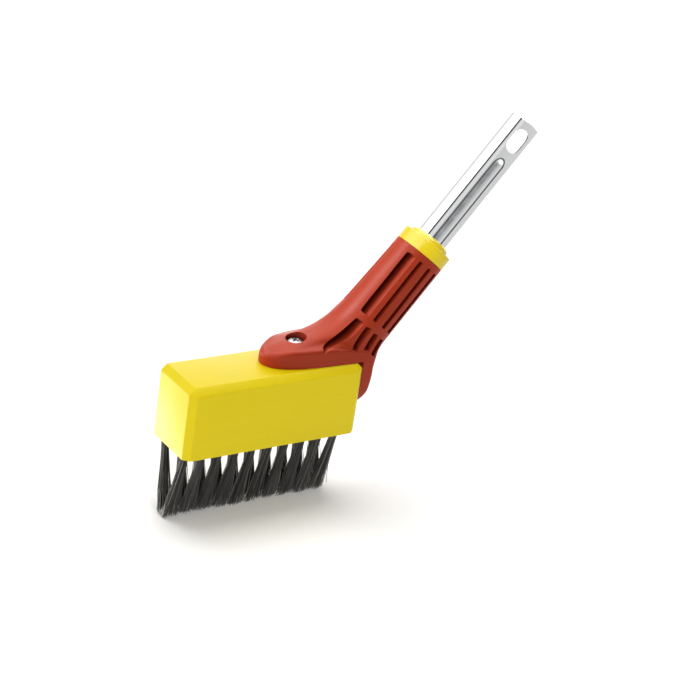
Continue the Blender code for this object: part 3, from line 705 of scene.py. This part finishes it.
def adapter_line(turn, foot_table, heel_table, neck_steps, round_steps):
    """One line of the skin, from the sleeve's mouth to the block."""
    along, across = np.array(ALONG), np.array(ACROSS)
    mouth = np.array(MOUTH)
    full_heel = CORNER_Z - HEEL_TIP_Z
    on_foot = turn <= CORNER_TURN + 1e-9
    if on_foot:
        u, y, du, dy = outline_point(foot_table, (turn / CORNER_TURN) ** 1.35)
        contact = np.array([FOOT_NOSE_X + u, y, CORNER_Z])
        inward = np.array([dy, -du, 0.0])
        flank = smooth_step((u - 34 * MM) / (CORNER_X - FOOT_NOSE_X - 34 * MM))
        height = FOOT_HEIGHT[0] + (FOOT_HEIGHT[1] - FOOT_HEIGHT[0]) * smooth_step(u / (17 * MM))
        wall = np.array([0.66 * flank, 0.0, 1 - 0.34 * flank])
    else:
        u, y, du, dy = outline_point(
            heel_table, ((math.pi - turn) / (math.pi - CORNER_TURN)) ** 1.25
        )
        contact = np.array([CORNER_X, y, HEEL_TIP_Z + u])
        inward = np.array([0.0, -du, dy])
        flank = smooth_step((u - 22 * MM) / (full_heel - 22 * MM))
        height = HEEL_THICKNESS[0] + (HEEL_THICKNESS[1] - HEEL_THICKNESS[0]) * smooth_step(
            u / (14 * MM)
        )
        wall = np.array([1 - 0.34 * flank, 0.0, 0.66 * flank])
    wall /= np.linalg.norm(wall)
    height = height * (1 - flank) + 9.0 * MM * flank
    side = smooth_step(u / ((17 if on_foot else 14) * MM))
    radius = EDGE_RADIUS[0] + (EDGE_RADIUS[1] - EDGE_RADIUS[0]) * side
    radius = radius * (1 - flank) + 0.15 * MM * flank
    crown = 0.8 * MM * (1 - flank)

    radial = math.cos(turn) * across + math.sin(turn) * np.array([0.0, 1.0, 0.0])
    taper = SLEEVE_TAPER * (1 - smooth_step((math.degrees(turn) - 50) / 60))
    neck = (-54 + 6 * math.cos(turn)) * MM
    start = mouth + neck * along + (SLEEVE_RADIUS - taper * (neck + TAPER_START)) * radial
    edge = contact + wall * height
    end = edge + inward * radius + wall * crown
    reach = np.linalg.norm(start - end)
    up_flank = np.array([0.6, 0.0, 0.8])
    if on_foot:
        back = smooth_step(u / (25 * MM))
        leave = np.array([0.88, 0.0, 0.475]) * (1 - back) + np.array([0.99, 0.0, 0.12]) * back
        leave = leave * (1 - flank) + up_flank * flank
        leave = leave + np.array([0.0, inward[1] * 0.35 * (1 - flank), 0.0])
        shoulder = smooth_step(math.degrees(turn) / 45)
        pull_start = (0.565 - 0.10 * shoulder) * (1 - flank) + 0.33 * flank
        pull_end = (0.30 + 0.04 * shoulder) * (1 - flank) + 0.33 * flank
        spread = 1 + 0.06 * (1 - flank)
    else:
        leave = np.array([0.04, 0.0, 1.0]) * (1 - flank) + up_flank * flank
        pull_start = 0.34 * (1 - flank) + 0.33 * flank
        pull_end = 0.42 * (1 - flank) + 0.33 * flank
        spread = 1.0
    leave /= np.linalg.norm(leave)
    first = start + (radial * taper - along) * pull_start * reach
    first = first * np.array([1.0, spread, 1.0])
    second = end + leave * pull_end * reach

    points = [mouth + SLEEVE_RADIUS * radial]
    points += [mouth - TAPER_START * k / 4 * along + SLEEVE_RADIUS * radial for k in range(1, 5)]
    for k in range(neck_steps + 1):
        v = k / neck_steps
        points.append(
            (1 - v) ** 3 * start
            + 3 * (1 - v) ** 2 * v * first
            + 3 * (1 - v) * v**2 * second
            + v**3 * end
        )
    centre = edge + inward * radius - wall * radius
    for k in range(1, round_steps + 1):
        a = math.pi / 2 * k / round_steps
        points.append(
            centre + wall * (radius + crown) * math.cos(a) - inward * radius * math.sin(a)
        )
    points.append(contact)
    return points


def adapter_skin(half_steps, neck_steps, round_steps):
    foot_table = outline_table(foot_half_width, CORNER_X - FOOT_NOSE_X)
    heel_table = outline_table(heel_half_width, CORNER_Z - HEEL_TIP_Z)
    turns = [math.pi * k / half_steps for k in range(half_steps + 1)]
    lines = [adapter_line(t, foot_table, heel_table, neck_steps, round_steps) for t in turns]
    count = len(lines[0])
    for point in lines[0] + lines[-1]:
        point[1] = 0.0
    ring = 2 * half_steps
    verts = []
    for m in range(count):
        for k in range(half_steps + 1):
            verts.append(tuple(lines[k][m]))
        for k in range(half_steps - 1, 0, -1):
            x, y, z = lines[k][m]
            verts.append((x, -y, z))
    faces = [tuple(range(ring))]
    for m in range(count - 1):
        for j in range(ring):
            a, b = m * ring + j, m * ring + (j + 1) % ring
            faces.append((a, b, b + ring, a + ring))
    last = (count - 1) * ring
    corner = turns.index(min(turns, key=lambda t: abs(t - CORNER_TURN)))
    foot = list(range(0, corner + 1)) + list(range(ring - corner, ring))
    heel = list(range(corner, ring - corner + 1))
    faces.append(tuple(last + k for k in foot))
    faces.append(tuple(last + k for k in heel))
    return verts, faces


def neck_pocket_outlines(side):
    upper = ((124.8, 79.4), (114.6, 71.7), (98.5, 62.2))
    lower = ((128.2, 76.8), (116.6, 66.2), (97.9, 59.8))
    if side > 0:
        lower = tuple((0.6 * a + 0.4 * c, 0.6 * b + 0.4 * d) for (a, b), (c, d) in zip(upper, lower))
    slots = (
        (upper, lower),
        (((129.1, 75.0), (124.7, 69.1), (120.3, 59.8)), ((132.9, 73.6), (129.2, 67.0), (124.2, 58.3))),
        (((134.6, 70.4), (131.5, 64.2), (128.8, 58.8)), ((138.8, 68.2), (136.3, 63.1), (132.9, 57.6))),
        (((141.0, 65.4), (137.4, 60.4), (134.6, 55.0)), ((145.1, 62.6), (140.9, 57.5), (138.2, 52.4))),
    )
    outlines = []
    for number, (upper, lower) in enumerate(slots):
        up = curve_points(upper, 12)
        down = curve_points(lower, 12)
        outline = [(p[0] * MM, p[1] * MM) for p in up + down[::-1]]
        outlines.append(rounded(outline, 0.8 * MM))
    return outlines


def make_adapter():
    """The moulding with its bore, pockets left by coring, and screw seats."""
    adapter = mesh_object("moulded_adapter", *adapter_skin(54, 40, 8), BLOCK_FRAME)
    skin = BVHTree.FromPolygons(
        [v.co.copy() for v in adapter.data.vertices], [tuple(p.vertices) for p in adapter.data.polygons]
    )

    bore = turned(
        [
            (0.0, 5 * MM),
            (COUNTERBORE_RADIUS, 5 * MM),
            (COUNTERBORE_RADIUS, -COUNTERBORE_DEPTH),
            (BORE_RADIUS, -COUNTERBORE_DEPTH),
            (BORE_RADIUS, -BORE_DEPTH),
            (0.0, -BORE_DEPTH),
        ],
        96,
    )
    long_pockets = []
    for sides, at_mouth, at_neck, floor in LONG_POCKETS:
        outline = [
            (-at_mouth[0] * MM, LONG_POCKET_ENDS[1] * MM),
            (-at_mouth[1] * MM, LONG_POCKET_ENDS[1] * MM),
            (-at_neck[1] * MM, LONG_POCKET_ENDS[0] * MM),
            (-at_neck[0] * MM, LONG_POCKET_ENDS[0] * MM),
        ]
        outline = rounded(outline, [1.4 * MM, 1.4 * MM, 0.7 * MM, 0.7 * MM])
        for side in sides:
            long_pockets.append(prism(outline, *sorted((side * floor * MM, side * 25 * MM))))
    neck_pockets = []
    for side in (-1, 1):
        for outline in neck_pocket_outlines(side):
            neck_pockets.append(prism(outline, *sorted((side * POCKET_WEB, side * 25 * MM))))
    clear = SHANK_RADIUS + GAP
    foot = turned(
        [
            (0.0, -3 * MM),
            (clear, -3 * MM),
            (clear, FOOT_SEAT - GAP),
            (RECESS_RADIUS, FOOT_SEAT - GAP),
            (RECESS_RADIUS, 30 * MM),
            (0.0, 30 * MM),
        ],
        72,
    )
    heel = turned(
        [
            (0.0, -3 * MM),
            (clear, -3 * MM),
            (clear, HEEL_SEAT - GAP),
            (RECESS_RADIUS, HEEL_SEAT - GAP),
            (RECESS_RADIUS, 20 * MM),
            (0.0, 20 * MM),
        ],
        72,
    )
    seats = merged(
        [
            moved(foot, Matrix.Translation(FOOT_SCREW)),
            moved(heel, Matrix.Translation(HEEL_SCREW) @ SIDEWAYS),
        ]
    )
    cut(
        adapter,
        mesh_object("cut_bore", *bore, STUB_FRAME),
        mesh_object("cut_long", *merged(long_pockets), STUB_FRAME),
        mesh_object("cut_neck", *merged(neck_pockets), BLOCK_FRAME),
        mesh_object("cut_seats", *seats, BLOCK_FRAME),
    )
    # painted shade: each point's depth under the outer skin, which darkens the red down in the pockets
    depths = [min(1.0, skin.find_nearest(v.co)[3] / (2.6 * MM)) for v in adapter.data.vertices]
    layer = adapter.data.attributes.new("pocket_shade", "FLOAT", "POINT")
    layer.data.foreach_set("value", depths)
    return smooth(adapter, 38)


# --------------------------------------------------------------------------
# Stub, collar and screws


def make_stub(finishes):
    """Plated tube with its flute formed by pressing, a rolled lip and a lock hole."""
    flute = [f / 12 for f in range(-12, 13)]
    angles = [FLUTE_ANGLE + f * FLUTE_HALF_ANGLE for f in flute]
    rest = 2 * math.pi - 2 * FLUTE_HALF_ANGLE
    plain = 120
    angles += [FLUTE_ANGLE + FLUTE_HALF_ANGLE + rest * k / plain for k in range(1, plain)]
    end = STUB_REACH - FLUTE_END

    def past(height):
        # how far into the flute's rounded end, 0 where it starts and 1 at its tip
        return max(0.0, (height - (end - 5.6 * MM)) / (5.6 * MM))

    def ring(height, radius):
        points = []
        for angle in angles:
            off = (angle - FLUTE_ANGLE) / FLUTE_HALF_ANGLE
            r = radius - FLUTE_DEPTH * max(0.0, 1 - off * off - past(height) ** 2)
            points.append((-r * math.sin(angle), -r * math.cos(angle), height))
        return points

    heights = [-STUB_INSERT + k * (end - 5.6 * MM + STUB_INSERT) / 40 for k in range(41)]
    heights += [end - 5.6 * MM + 6.44 * MM * k / 23 for k in range(1, 24)]
    outer = [ring(h, STUB_RADIUS) for h in heights]
    lip = 0.35 * MM
    plain_top = [
        (STUB_REACH - 24 * MM + k * (24 * MM - lip) / 16, STUB_RADIUS) for k in range(17)
    ]
    for k in range(1, 5):
        a = math.pi / 2 * k / 4
        plain_top.append((STUB_REACH - lip + lip * math.sin(a), STUB_RADIUS - lip + lip * math.cos(a)))
    for k in range(0, 5):
        a = math.pi / 2 * k / 4
        plain_top.append(
            (STUB_REACH - lip + lip * math.cos(a), STUB_RADIUS - STUB_WALL + lip - lip * math.sin(a))
        )
    outer += [ring(h, r) for h, r in plain_top]
    inner = [ring(h, STUB_RADIUS - STUB_WALL) for h in reversed(heights)]
    rings = outer + inner
    count = len(angles)
    verts = [p for r in rings for p in r]
    faces = []
    for i in range(len(rings)):
        j = (i + 1) % len(rings)
        for k in range(count):
            n = (k + 1) % count
            faces.append((i * count + k, i * count + n, j * count + n, j * count + k))
    stub = mesh_object("plated_stub", verts, faces, STUB_FRAME)

    half = LOCK_HOLE_LENGTH / 2 - LOCK_HOLE_WIDTH / 2
    outline = []
    for k in range(25):
        a = math.pi * k / 24
        outline.append((math.cos(a) * LOCK_HOLE_WIDTH / 2, half + math.sin(a) * LOCK_HOLE_WIDTH / 2))
    for k in range(25):
        a = math.pi + math.pi * k / 24
        outline.append((math.cos(a) * LOCK_HOLE_WIDTH / 2, -half + math.sin(a) * LOCK_HOLE_WIDTH / 2))
    place = (
        STUB_FRAME
        @ Matrix.Translation((0.0, 0.0, STUB_REACH - LOCK_HOLE_CENTRE))
        @ Matrix.Rotation(-FLUTE_ANGLE, 4, "Z")
    )
    rings = []
    for depth in (-16 * MM, -8 * MM):
        # the near hole's long sides run towards the axis
        spread = -depth / STUB_RADIUS
        rings.append([(x * spread, depth, z) for x, z in outline])
    cut(
        stub,
        mesh_object("cut_near_hole", *loft(rings), place),
        mesh_object("cut_far_hole", *prism(outline, 8 * MM, 16 * MM), place),
    )

    # which surface each face belongs to: 0 outside, 1 inside, 2 the hole's wall
    mesh = stub.data
    back = STUB_FRAME.inverted()
    for finish in finishes:
        mesh.materials.append(finish.mat)
    for face in mesh.polygons:
        centre, normal = back @ face.center, back.to_3x3() @ face.normal
        radial = Vector((centre.x, centre.y, 0.0)).normalized()
        near_hole = (
            abs(centre.z - (STUB_REACH - LOCK_HOLE_CENTRE)) < LOCK_HOLE_LENGTH / 2 + 0.2 * MM
            and centre.x * math.sin(FLUTE_ANGLE) + centre.y * math.cos(FLUTE_ANGLE) < 0
        )
        if abs(normal.dot(radial)) < 0.55 and near_hole:
            face.material_index = 2
        elif normal.dot(radial) < 0 and centre.z < STUB_REACH - 0.5 * MM:
            face.material_index = 1
    flute_shade = []
    for v in mesh.vertices:
        p = back @ v.co
        off = (math.atan2(-p.x, -p.y) - FLUTE_ANGLE) / FLUTE_HALF_ANGLE
        value = 0.0
        if math.hypot(p.x, p.y) > STUB_RADIUS - 3.2 * MM:
            size = math.hypot(off, past(p.z))
            if size < 1.15:
                # painted shade: the flute's lower side is darker than its upper side, and its creases darker still
                value = smooth_step((off + 0.65) / 0.95) * smooth_step((0.55 - past(p.z)) / 0.5)
                crease = smooth_step((size - 0.80) / 0.12) * smooth_step((1.13 - size) / 0.10)
                value = value * (1 - crease) + 2.0 * crease
        flute_shade.append(value)
    layer = mesh.attributes.new("flute_shade", "FLOAT", "POINT")
    layer.data.foreach_set("value", flute_shade)
    return smooth(stub, 32)


def make_collar():
    sharp = [
        (STUB_RADIUS + GAP, -2.4, 0.2),
        (13.0 * MM, -2.4, 0.2),
        (13.0 * MM, 0.12, 0.0),
        (SLEEVE_RADIUS, 0.12, 0.2),
        (SLEEVE_RADIUS, 9.25, 0.6),
        (14.3 * MM, 9.25, 0.3),
        (14.15 * MM, 10.9, 1.2),
        (13.2 * MM, 12.3, 1.2),
        (12.2 * MM, 12.9, 0.8),
        (STUB_RADIUS + GAP, 12.9, 0.3),
    ]
    profile = rounded([(r, h * MM) for r, h, _ in sharp], [c * MM for _, _, c in sharp], 5)
    return smooth(mesh_object("moulded_collar", *turned(profile, 144), STUB_FRAME), 30)


def make_screw(name, place, seat, length):
    """Domed head with a cross recess, and a threaded shank."""
    head = []
    for k in range(15):
        a = math.pi / 2 * k / 14
        head.append((HEAD_RADIUS * math.cos(a), 0.8 * MM + (HEAD_HEIGHT - 0.8 * MM) * math.sin(a)))
    head[-1] = (0.0, HEAD_HEIGHT)
    thread = []
    turns = int((length - 6 * MM) / (1.4 * MM))
    for k in range(turns):
        z = -length + 5 * MM + k * 1.4 * MM
        thread += [(SHANK_RADIUS - 0.65 * MM, z), (SHANK_RADIUS, z + 0.55 * MM), (SHANK_RADIUS - 0.65 * MM, z + 1.1 * MM)]
    profile = (
        [(0.0, -length), (SHANK_RADIUS * 0.35, -length + 1.0 * MM), (SHANK_RADIUS - 0.65 * MM, -length + 4.9 * MM)]
        + thread
        + [(SHANK_RADIUS - 0.3 * MM, thread[-1][1] + 0.3 * MM), (SHANK_RADIUS - 0.3 * MM, 0.0), (HEAD_RADIUS - 0.2 * MM, 0.0), (HEAD_RADIUS, 0.2 * MM)]
        + head
    )
    matrix = BLOCK_FRAME @ place @ Matrix.Translation((0.0, 0.0, seat))
    screw = mesh_object(name, *turned(profile, 48), matrix)
    arm, half = 3.3 * MM, 0.70 * MM
    cross = [
        (arm, -half), (arm, half), (half, half), (half, arm), (-half, arm), (-half, half),
        (-arm, half), (-arm, -half), (-half, -half), (-half, -arm), (half, -arm), (half, -half),
    ]
    rings = []
    for height, share in ((0.9 * MM, 0.42), (HEAD_HEIGHT + 1.0 * MM, 1.15)):
        rings.append(
            [
                (x * share if abs(x) > half else x, y * share if abs(y) > half else y, height)
                for x, y in cross
            ]
        )
    spin = Matrix.Rotation(math.radians(24), 4, "Z")
    cut(screw, mesh_object("cut_cross", *loft(rings), matrix @ spin))
    return smooth(screw, 40)


# --------------------------------------------------------------------------
# The studio


def make_studio():
    scene = bpy.context.scene
    scene.view_settings.view_transform = "Standard"
    scene.view_settings.look = "None"

    cam = bpy.data.cameras.new("camera")
    camera = bpy.data.objects.new("camera", cam)
    scene.collection.objects.link(camera)
    right = Vector((0.82990571, -0.54051202, 0.13821457))
    down = Vector((-0.12809911, -0.42573312, -0.89573541))
    forward = Vector((0.54299828, 0.72567077, -0.42255746))
    pose = Matrix((right, -down, -forward)).transposed().to_4x4()
    pose.translation = Vector((-0.7818276, -1.0512731, 0.7123796))
    camera.matrix_world = pose
    cam.sensor_width = 36.0
    cam.lens = 2200 / 700 * 36
    cam.clip_start, cam.clip_end = 0.05, 30.0
    scene.camera = camera

    # floor
    mesh = bpy.data.meshes.new("floor")
    s = 5.0
    mesh.from_pydata([(-s, -s, 0), (s, -s, 0), (s, s, 0), (-s, s, 0)], [], [(0, 1, 2, 3)])
    floor = bpy.data.objects.new("floor", mesh)
    scene.collection.objects.link(floor)
    f = Finish("floor_paper", (0.93, 0.93, 0.93), 0.9, specular=0.0)
    grain = f.noise(f.coords, 300.0, 2.0, 0.5)
    f.set("Base Color", f.mix(f.between(grain, 0.3, 0.7, 0.0, 1.0), (0.925, 0.925, 0.925), (0.935, 0.935, 0.935)))
    floor.data.materials.append(f.mat)
    floor.visible_glossy = False

    # world: soft sky for light, and a studio with a strip gap for reflections
    world = bpy.data.worlds.new("studio")
    scene.world = world
    world.use_nodes = True
    tree = world.node_tree
    tree.nodes.clear()
    out = tree.nodes.new("ShaderNodeOutputWorld")
    coords = tree.nodes.new("ShaderNodeTexCoord").outputs["Generated"]

    def dot(axis):
        n = tree.nodes.new("ShaderNodeVectorMath")
        n.operation = "DOT_PRODUCT"
        tree.links.new(coords, n.inputs[0])
        n.inputs[1].default_value = axis
        return n.outputs["Value"]

    turn = tree.nodes.new("ShaderNodeMath")
    turn.operation = "ARCTAN2"
    tree.links.new(dot(ACROSS), turn.inputs[0])
    tree.links.new(dot((0.0, -1.0, 0.0)), turn.inputs[1])
    share = tree.nodes.new("ShaderNodeMapRange")
    share.inputs["From Min"].default_value = -math.pi
    share.inputs["From Max"].default_value = math.pi
    tree.links.new(turn.outputs[0], share.inputs["Value"])
    ramp = tree.nodes.new("ShaderNodeValToRGB")
    tree.links.new(share.outputs["Result"], ramp.inputs["Fac"])
    # degrees about the stub's axis, 0 towards the front and 90 up the slope
    stops = [
        (-180, 0.92), (-166, 1.2), (-150, 2.4), (-134, 0.85), (-100, 0.66), (-40, 0.66), (10, 0.64),
        (40, 0.60), (58, 0.80), (72, 0.70), (76, 0.03), (84, 0.03), (88, 2.0), (96, 2.6), (102, 5.5), (130, 4.5),
        (145, 2.2), (153, 0.80), (168, 0.72), (180, 0.92),
    ]
    peak = 8.0
    elements = ramp.color_ramp.elements
    elements[0].position = 0.0
    elements[1].position = 1.0
    for angle, level in stops[1:-1]:
        elements.new((angle + 180) / 360)
    for element, (angle, level) in zip(elements, stops):
        element.position = (angle + 180) / 360
        v = level / peak
        element.color = (v, v, v, 1.0)
    # past the stub's ends the studio is the pale floor, or its far wall
    def ranged(value, low, high):
        n = tree.nodes.new("ShaderNodeMapRange")
        n.inputs["From Min"].default_value = low
        n.inputs["From Max"].default_value = high
        tree.links.new(value, n.inputs["Value"])
        return n.outputs["Result"]

    def multiply(one, two):
        n = tree.nodes.new("ShaderNodeMath")
        n.operation = "MULTIPLY"
        tree.links.new(one, n.inputs[0])
        tree.links.new(two, n.inputs[1])
        return n.outputs[0]

    def blend(factor, colour, level):
        n = tree.nodes.new("ShaderNodeMix")
        n.data_type = "RGBA"
        tree.links.new(factor, n.inputs[0])
        tree.links.new(colour, n.inputs[6])
        n.inputs[7].default_value = (level / peak, level / peak, level / peak, 1.0)
        return n.outputs[2]

    far = ranged(dot((0.0, 1.0, 0.0)), -0.1, 0.4)
    slope = dot(ALONG)
    seen = blend(multiply(ranged(slope, -0.30, -0.50), far), ramp.outputs["Color"], 7.5)
    seen = blend(multiply(ranged(slope, 0.30, 0.50), far), seen, 3.6)
    seen = blend(multiply(ranged(slope, -0.30, -0.50), ranged(dot((0.0, -1.0, 0.0)), 0.0, 0.4)), seen, 1.6)
    high = ranged(dot((0.0, 0.0, 1.0)), 0.68, 0.88)
    seen = blend(multiply(high, ranged(slope, 0.30, 0.50)), seen, 8.0)
    mirror = tree.nodes.new("ShaderNodeBackground")
    mirror.inputs["Strength"].default_value = peak
    tree.links.new(seen, mirror.inputs["Color"])

    # the sky is brighter behind and to the left, dimmer over the front
    sky = tree.nodes.new("ShaderNodeBackground")
    sky.inputs["Color"].default_value = (1.0, 1.0, 1.0, 1.0)
    glow = tree.nodes.new("ShaderNodeMapRange")
    glow.inputs["From Min"].default_value = -1.0
    glow.inputs["From Max"].default_value = 1.0
    glow.inputs["To Min"].default_value = 0.08
    glow.inputs["To Max"].default_value = 0.66
    tree.links.new(dot(Vector((-0.32, 0.84, 0.44)).normalized()), glow.inputs["Value"])
    tree.links.new(glow.outputs["Result"], sky.inputs["Strength"])
    white = tree.nodes.new("ShaderNodeBackground")
    white.inputs["Color"].default_value = (1.0, 1.0, 1.0, 1.0)
    white.inputs["Strength"].default_value = 1.0
    path = tree.nodes.new("ShaderNodeLightPath")
    first = tree.nodes.new("ShaderNodeMixShader")
    tree.links.new(path.outputs["Is Glossy Ray"], first.inputs[0])
    tree.links.new(sky.outputs[0], first.inputs[1])
    tree.links.new(mirror.outputs[0], first.inputs[2])
    second = tree.nodes.new("ShaderNodeMixShader")
    tree.links.new(path.outputs["Is Camera Ray"], second.inputs[0])
    tree.links.new(first.outputs[0], second.inputs[1])
    tree.links.new(white.outputs[0], second.inputs[2])
    tree.links.new(second.outputs[0], out.inputs["Surface"])

    return floor


def sun(name, direction, irradiance, spread, receivers):
    """A distant softbox that lights only the given objects."""
    light = bpy.data.lights.new(name, "SUN")
    light.energy = irradiance * math.pi
    light.angle = math.radians(spread)
    lamp = bpy.data.objects.new(name, light)
    bpy.context.scene.collection.objects.link(lamp)
    lamp.rotation_euler = Vector(direction).to_track_quat("Z", "Y").to_euler()
    group = bpy.data.collections.new(name + "_receivers")
    lamp.light_linking.receiver_collection = group
    for obj in receivers:
        group.objects.link(obj)
    for entry in group.collection_objects:
        entry.light_linking.link_state = "INCLUDE"
    return lamp


# --------------------------------------------------------------------------


def add(piece, finish, slot, *nodes):
    if finish is not None:
        piece.data.materials.clear()
        piece.data.materials.append(finish.mat)
    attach(piece, "root")
    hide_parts(*nodes)
    return piece


def main():
    floor = make_studio()
    lacquer, red, yellow = lacquer_finish(), red_finish(), collar_finish()
    plating, wire = plating_finish(), wire_finish()
    zinc, strip = screw_finish(), anchor_finish()

    soft = [add(make_block(), lacquer, "block_lacquer", "brush_block")]
    number = 0
    for row in ROWS:
        for i in range(TUFTS_PER_ROW):
            name = f"{row}_{i + 1:02d}"
            number += 1
            tuft = make_tuft("wires_" + name, row, i, 100 + number)
            soft.append(add(tuft, wire, "bristle", "tuft_" + name))
            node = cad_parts["anchor_" + name]
            node.data.materials.clear()
            node.data.materials.append(strip.mat)
    adapter = add(make_adapter(), red, "adapter_red", "handle_adapter")
    stub = make_stub((plating, bare_finish(), punched_finish()))
    add(stub, None, "stub_plating", "spigot_tube")
    collar = add(make_collar(), yellow, "collar_yellow", "collar")
    soft.append(collar)
    add(
        make_screw("foot_cross_screw", Matrix.Translation(FOOT_SCREW), FOOT_SEAT, 38.6 * MM),
        zinc, "screw", "foot_screw",
    )
    add(
        make_screw("heel_cross_screw", Matrix.Translation(HEEL_SCREW) @ SIDEWAYS, HEEL_SEAT, 30 * MM),
        zinc, "screw", "heel_screw",
    )

    # a softbox behind and above for the moulding, a wide one above for the rest,
    # and two on the floor, so that it stays white with one soft shadow on it
    sun("key", (-0.55, 0.40, 0.72), 0.66, 22, [adapter])
    sun("rim", (-0.74, -0.30, 0.60), 0.22, 24, [adapter])
    sun("glint", (-0.764, -0.208, 0.611), 0.36, 40, [collar])
    sun("soft", (-0.22, -0.12, 0.95), 0.50, 90, soft)
    sun("wash", (0.05, 0.27, 0.96), 0.69, 38, [floor]).visible_glossy = False
    sun("fill", (0.0, -0.94, 0.342), 0.62, 40, [floor]).visible_glossy = False


main()
bpy.context.view_layer.update()
